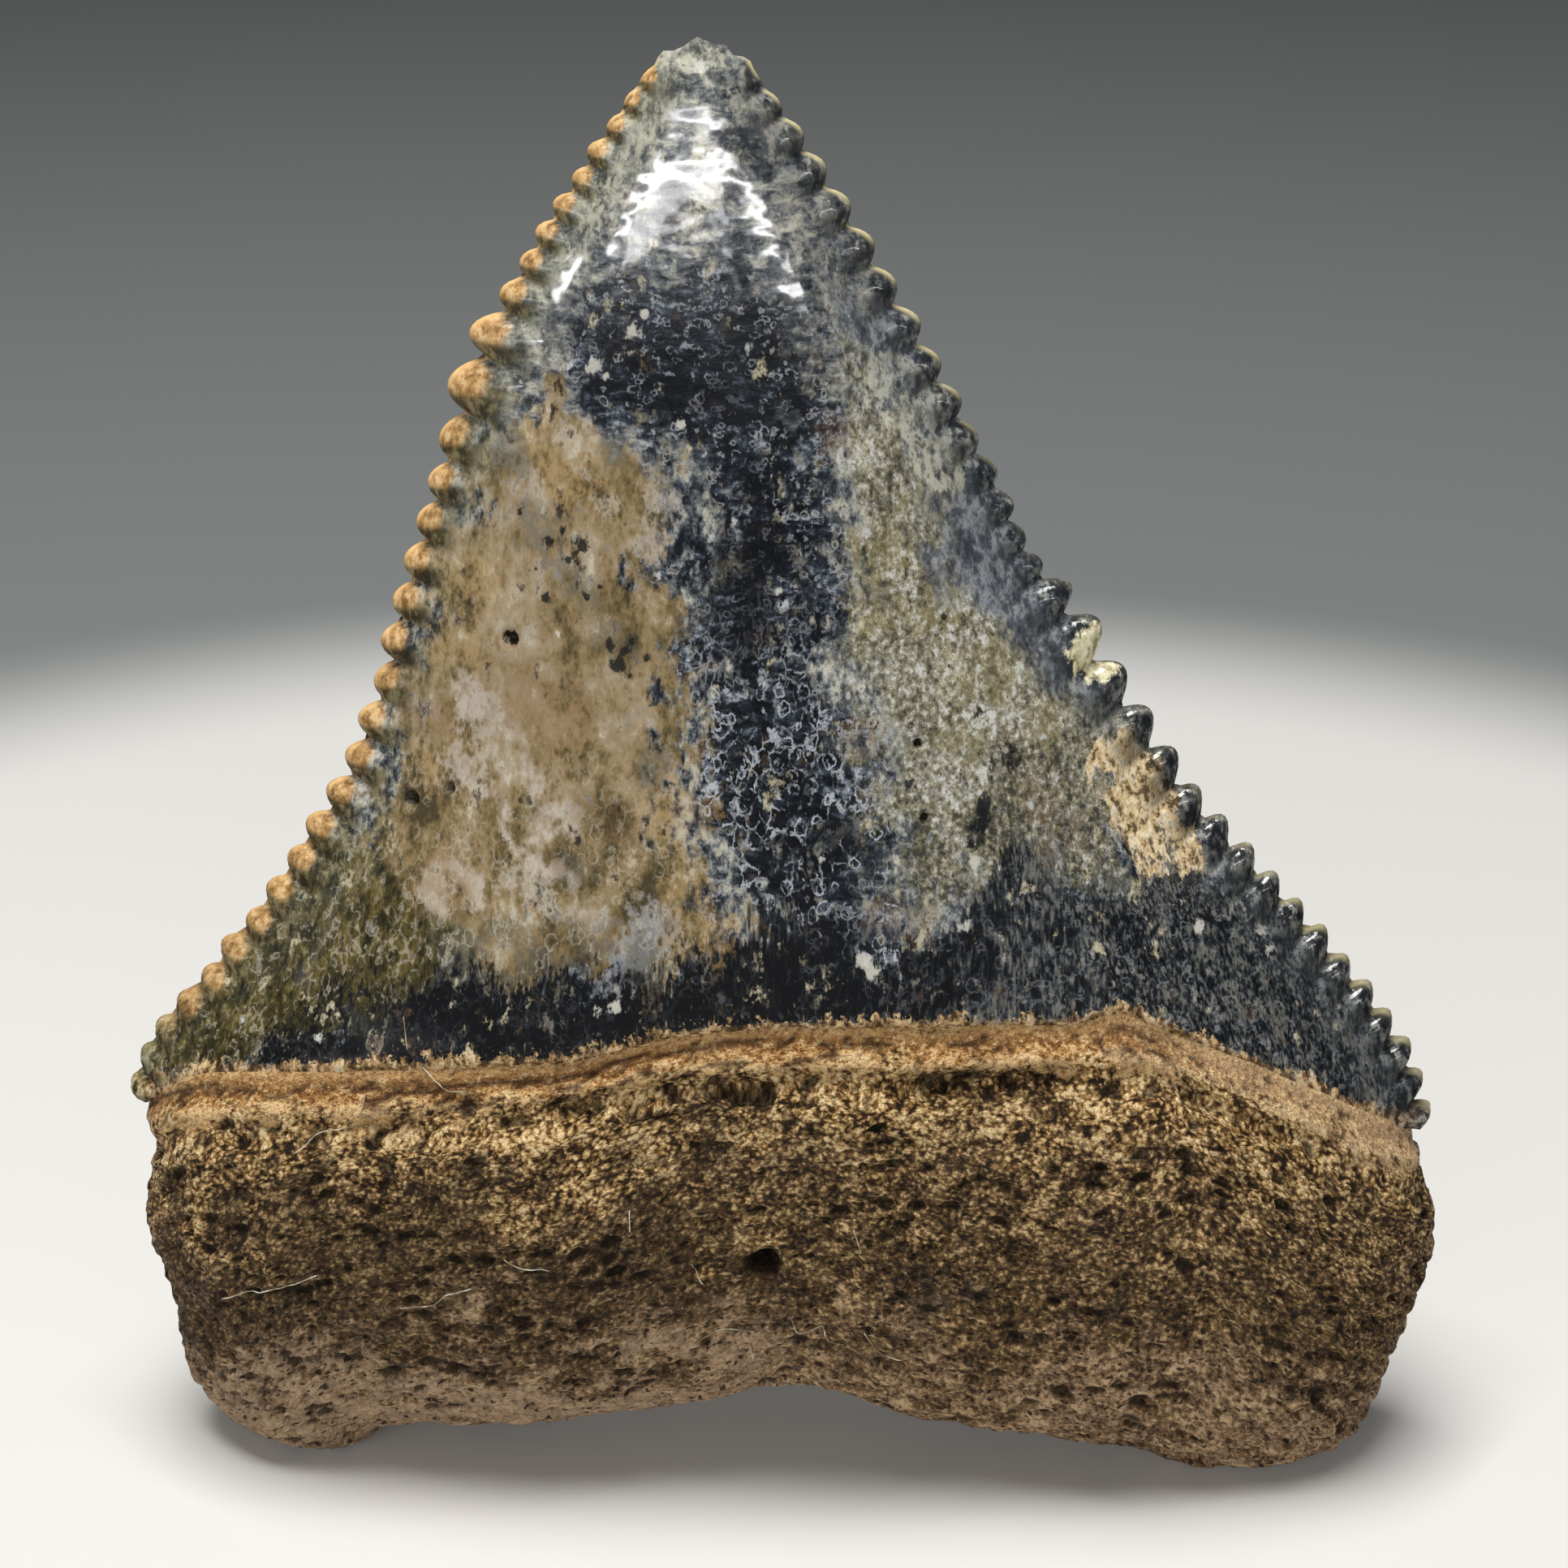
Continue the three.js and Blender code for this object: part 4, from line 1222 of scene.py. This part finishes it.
def edge_colours(grain, colour, cream):
    """Both cutting edges: their flanks, knobs, rims lighter on top as partly painted highlight, and the
    chipped knobs on the right
    """
    leftward = levels(grain.x, -0.5, -3.0)
    low_foot = levels(grain.height, 13.5, 11.5)
    colour = flank_colours(grain, colour, leftward, cream)
    colour = knob_colours(grain, colour, leftward, low_foot)
    right_rim = added(levels(grain.height, 27.0, 32.0), 0.7, 0.06)
    right_rim = added(levels(grain.height, 20.0, 15.0), 0.45, right_rim)
    left_rim = added(levels(grain.height, 14.0, 26.0), 0.55, 0.35)
    rim = part_of(attribute(grain.tree, "rim"), tinted_value(leftward, right_rim, left_rim))
    rim_and_highlight_colour = tinted(leftward, CREAM_RIM, tinted(low_foot, AMBER_RIM, MOSSY_RIM))
    chip = levels(broken(attribute(grain.tree, "chip"), grain.fine, 0.9), 0.3, 0.5)
    return coated(colour, (rim, rim_and_highlight_colour), (chip, tones(grain.fine, CHIP_TONES)))


def enamel_finish(shader, grain, cream, band, lace):
    """Low relief, roughness and the glassy coat near the tip, duller at the edges and on the cream"""
    crinkle = cloud(stretched(grain.place, (0.9, 0.9, 1.9)), 4.5, 3, 0.7, 0.6)
    raised = part_of(grain.leather, added(grain.high, 0.12, 0.1))
    raised = added(part_of(crinkle, grain.high), 0.15, raised)
    raised = added(grain.fine, 0.08, added(part_of(cream, grain.fine), 1.2, raised))
    bump = node("Bump", {"Strength": 0.6, "Distance": ENAMEL_BUMP * MM, "Height": raised})
    edge = levels(attribute(grain.tree, "flank"), 0.45, 0.9)
    rough = added(grain.leather, 0.14, added(grain.high, -0.2, 0.28))
    rough = added(edge, 0.35, added(lace, 0.15, rough))
    rough = added(cream, 0.35, added(band, 0.2, rough))
    rough = added(levels(grain.height, 36.4, 37.4), 0.35, rough)
    worn_tip = levels(grain.height, 36.5, 37.4)
    coat = added(grain.high, 0.98, 0.02)
    coat = part_of(coat, outside(worn_tip, 0.8), outside(edge, 0.85))
    rightside = added(levels(grain.x, -2.0, 1.0), 0.5, 0.08)
    shine = part_of(levels(attribute(grain.tree, "knob"), 0.2, 0.55), rightside)
    coat = calc("MAXIMUM", coat, part_of(shine, levels(grain.fine, 0.42, 0.54)))
    feed(shader, {"Roughness": rough, "Normal": bump.outputs[0], "IOR": ENAMEL_IOR})
    feed(shader, {"Coat Weight": coat, "Coat Roughness": COAT_ROUGHNESS, "Coat IOR": COAT_IOR})


def enamel_material(ragged, marks):
    """Glossy enamel stained in zones: grey tip, ochre and olive sides, navy stripe, black base band"""
    material, tree, shader = new_material("stained enamel")
    grain = enamel_grains(tree)
    colour, masks = enamel_zones(grain, ragged)
    colour, band = base_band(grain, colour)
    colour = hem_crumbs(grain, colour)
    drip = zone(ragged, "drip", grain.fine, 3.0, 0.3)
    colour = tinted(part_of(drip, 0.6), colour, DRIP_COLOUR)
    colour = soft_patches(grain, colour, masks)
    colour, lace = enamel_lace(grain, colour, masks, band, marks)
    colour = specks(grain, colour)
    feed(shader, {"Base Color": edge_colours(grain, colour, masks["cream"])})
    enamel_finish(shader, grain, masks["cream"], band, lace)
    return material


def root_grains(tree):
    """Places along the root's grain in mm, its noises, and the share of the way up to the band"""
    place = millimetres(tree)
    axes = split(place)
    share = attribute(tree, "flow")
    flow = node("CombineXYZ", {0: axes[0], 1: axes[1], 2: part_of(share, FLOW_RISE)}).outputs[0]
    clouds = cloud_node(stretched(flow, (1.0, 1.0, 1.6)), 1.1, 4.0, 0.68)[1]
    parts = grain_parts(clouds)
    mixed = added(parts[1], 0.5, part_of(cloud(flow, 0.3, 2), 0.5))
    crumbled = stretched(flow, (1.0, 1.0, 1.15))
    return SimpleNamespace(
        tree=tree, x=axes[0], share=share, flow=flow, clouds=clouds, parts=parts,
        uneven=broken(share, mixed, 2.0),
        fine=cloud(crumbled, 6.0, 3, 0.75),
        crumb_place=stretched(clouds, (0.5, 0.5, 0.5), crumbled),
    )


def root_crumbs(grain):
    """Height of the crumbs, larger towards the band, and a tone for how sandy or dark they are, lighter on
    the crumbs' tops as painted light
    """
    cells = node("TexVoronoi", {"Vector": grain.crumb_place, "Scale": 6.4})
    crumbly = added(levels(grain.share, 0.2, 0.9), 0.5, 0.5)
    crumbs = part_of(calc("SUBTRACT", 1.0, cells.outputs["Distance"]), crumbly)
    sand_and_painted_crumb_light = added(grain.parts[0], 0.42, part_of(grain.fine, 0.45))
    sand_and_painted_crumb_light = added(crumbly, -0.15, calc("ADD", added(crumbs, 0.3, sand_and_painted_crumb_light), 0.055))
    return crumbs, added(calc("SUBTRACT", sand_and_painted_crumb_light, 0.48), 1.28, 0.485)


def stone_colours(grain, sand_and_painted_crumb_light, ragged):
    """Sandy shoulder, grey-brown middle, pinkish foot, darker and paler parts on the left, and stains"""
    left = levels(grain.x, 2.0, -3.0)
    belt = part_of(levels(grain.uneven, 0.25, 0.45), levels(grain.uneven, 0.85, 0.65))
    stain = zone(ragged, "stain", grain.parts[2], 5.0, 0.5)
    # These tones follow the sand value, which is lighter on the crumbs' tops: painted light
    return coated(
        tones(sand_and_painted_crumb_light, MIDDLE_TONES),
        (levels(grain.uneven, 0.5, 0.15), tones(sand_and_painted_crumb_light, FOOT_TONES)),
        (levels(grain.uneven, 0.62, 0.98), tones(sand_and_painted_crumb_light, SHOULDER_TONES)),
        (part_of(left, belt, 0.45), LEFT_SHADE),
        (part_of(left, levels(grain.uneven, 0.35, 0.15), 0.55), LEFT_FOOT),
        (part_of(stain, 0.65), ROOT_STAIN),
    )


def root_holes(grain, colour, sand_and_painted_crumb_light, marks):
    """Painted shade in the gaps between the crumbs, dark pores with painted shade in the deeper hollows,
    small pits, and where the pits are
    """
    # Painted shade where the sand value is low, in the gaps between the crumbs
    painted_gap_shade = levels(sand_and_painted_crumb_light, 0.42, 0.32, 0.45)
    pore = broken(attribute(grain.tree, "pore"), grain.fine, 1.4)
    pore = levels(pore, 0.25, 0.7, 0.85)
    place = stretched(grain.clouds, (0.5, 0.5, 0.5), stretched(grain.flow, (1.0, 1.0, 1.7)))
    pits = use_group(marks, Place=place, Per_mm=3.6, Width=0.05, Rings=0.0, Spots=0.62)[1]
    pits = levels(pits, 0.25, 0.75)
    pits = part_of(pits, added(levels(grain.share, 0.95, 0.55), 0.6, 0.4))
    pitted = part_of(pits, 0.85)
    return coated(colour, (painted_gap_shade, GAP_SHADE_COLOUR), (pore, PORE_AND_HOLLOW_SHADE), (pitted, PIT_COLOUR)), pits


def root_band_colours(grain):
    """Layers of amber and tan under the enamel, with a grain, paler at the right end"""
    layered = cloud(stretched(grain.flow, (0.7, 0.7, 2.0)), 1.2, 4, 0.7, 0.8)
    streaks = added(grain.fine, 0.45, part_of(grain.parts[1], 0.25))
    depth = broken(part_of(attribute(grain.tree, "below"), 0.62), grain.parts[1], 0.8)
    depth = broken(depth, grain.fine, 0.75)
    return coated(
        tones(added(layered, 0.3, streaks), ROOT_BAND_TONES),
        (0.65, tones(depth, LAYER_TONES)),
        (levels(grain.fine, 0.47, 0.38, 0.6), BAND_DARK_GRAIN),
        (levels(grain.fine, 0.53, 0.6, 0.5), BAND_PALE_GRAIN),
        (levels(grain.x, 7.0, 13.0, 0.3), BAND_PALE_END),
    )


def root_material(ragged, marks):
    """Crumbly, porous stone under an amber band"""
    material, tree, shader = new_material("porous root")
    grain = root_grains(tree)
    crumbs, sand_and_painted_crumb_light = root_crumbs(grain)
    colour = stone_colours(grain, sand_and_painted_crumb_light, ragged)
    colour, pits = root_holes(grain, colour, sand_and_painted_crumb_light, marks)
    band = zone(ragged, "band", grain.parts[2], 3.5, 0.25)
    crack = part_of(attribute(grain.tree, "crack"), 0.85)
    colour = coated(colour, (band, root_band_colours(grain)), (crack, CRACK_COLOUR))
    raised = added(grain.fine, 1.0, part_of(grain.parts[0], 0.8))
    raised = added(pits, -0.6, added(crumbs, 0.4, raised))
    raised = part_of(raised, outside(band, 0.2))
    bump = node("Bump", {"Strength": 1.0, "Distance": ROOT_BUMP * MM, "Height": raised})
    rough = added(band, -0.25, 0.75)
    feed(shader, {"Base Color": colour, "Roughness": rough, "Normal": bump.outputs[0], "IOR": ROOT_IOR})
    return material


def lint_material():
    """Pale, dusty fibres"""
    material, tree, shader = new_material("pale lint")
    colour = tones(cloud(millimetres(tree), 2.0, 2), LINT_TONES)
    feed(shader, {"Base Color": colour, "Roughness": LINT_ROUGHNESS})
    return material


def floor_material():
    """Pale near the part, and grey further out: a pale disc whose fade to grey is partly painted falloff of
    light
    """
    material, tree, shader = new_material("pale floor")
    away = node("VectorMath", {0: millimetres(tree)}, operation="LENGTH").outputs["Value"]
    colour = tinted(levels(away, *FLOOR_FADE), FLOOR_PALE, FLOOR_GREY)
    feed(shader, {"Base Color": colour, "Roughness": FLOOR_ROUGHNESS})
    return material

def dress(piece, material):
    piece.data.materials.clear()
    piece.data.materials.append(material)
    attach(piece, "root")
    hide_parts("tooth")


def build_tooth():
    ragged, marks = ragged_edge_group(), cell_marks_group()
    crown = sewn("crown", [crown_sheet(True), crown_sheet(False)])
    crown_stains(crown)
    crown_relief(crown)
    dress(crown, enamel_material(ragged, marks))
    root = sewn("porous_root", [root_sheet(True), root_sheet(False)])
    root_relief(root)
    dress(root, root_material(ragged, marks))
    lint = sewn("lint_fibres", [lint_tube([crown, root], path) for path in LINT_PATHS])
    dress(lint, lint_material())


def build_floor():
    bpy.ops.object.select_all(action="DESELECT")
    bpy.ops.mesh.primitive_plane_add(size=FLOOR_WIDTH)
    floor = bpy.context.object
    floor.name = "floor"
    floor.data.materials.append(floor_material())


def soft_light(name, place, target, size, watts, colour=(1.0, 1.0, 1.0)):
    """A soft light of the given width and height, turned towards a target"""
    data = bpy.data.lights.new(name, "AREA")
    data.shape = "RECTANGLE"
    data.size, data.size_y = size
    data.energy = watts
    data.color = colour
    lamp = bpy.data.objects.new(name, data)
    bpy.context.collection.objects.link(lamp)
    lamp.location = place
    lamp.rotation_euler = (Vector(target) - Vector(place)).to_track_quat("-Z", "Y").to_euler()
    lamp.visible_camera = False
    return lamp


def strip_light(name, start, end, thickness, target, watts):
    """A long soft light between two points, its face turned towards a target"""
    start, end, target = Vector(start), Vector(end), Vector(target)
    middle, run = (start + end) / 2, (end - start).normalized()
    lamp = soft_light(name, middle, target, ((end - start).length, thickness), watts)
    outwards = middle - target
    outwards = (outwards - outwards.dot(run) * run).normalized()
    lamp.rotation_euler = Matrix((run, outwards.cross(run), outwards)).transposed().to_euler()


def build_lights():
    soft_light(
        "overhead softbox", SOFTBOX_PLACE, SOFTBOX_TARGET, SOFTBOX_SIZE, SOFTBOX_WATTS, SOFTBOX_COLOUR)
    for name, place, far_place, thickness, watts in TIP_STRIPS:
        strip_light(name, place, far_place, thickness, TIP_TARGET, watts)
    world = bpy.data.worlds.new("studio")
    bpy.context.scene.world = world
    world.use_nodes = True
    backdrop = world.node_tree.nodes["Background"]
    backdrop.inputs["Color"].default_value = STUDIO_COLOUR


def build_camera():
    data = bpy.data.cameras.new("camera")
    data.lens = CAMERA_LENS
    data.clip_start = MM
    camera = bpy.data.objects.new("camera", data)
    bpy.context.collection.objects.link(camera)
    camera.location = CAMERA_PLACE
    camera.rotation_euler = (math.radians(CAMERA_TILT), 0, 0)
    bpy.context.scene.camera = camera


build_camera()
build_tooth()
build_floor()
build_lights()
bpy.context.scene.view_settings.view_transform = "Standard"
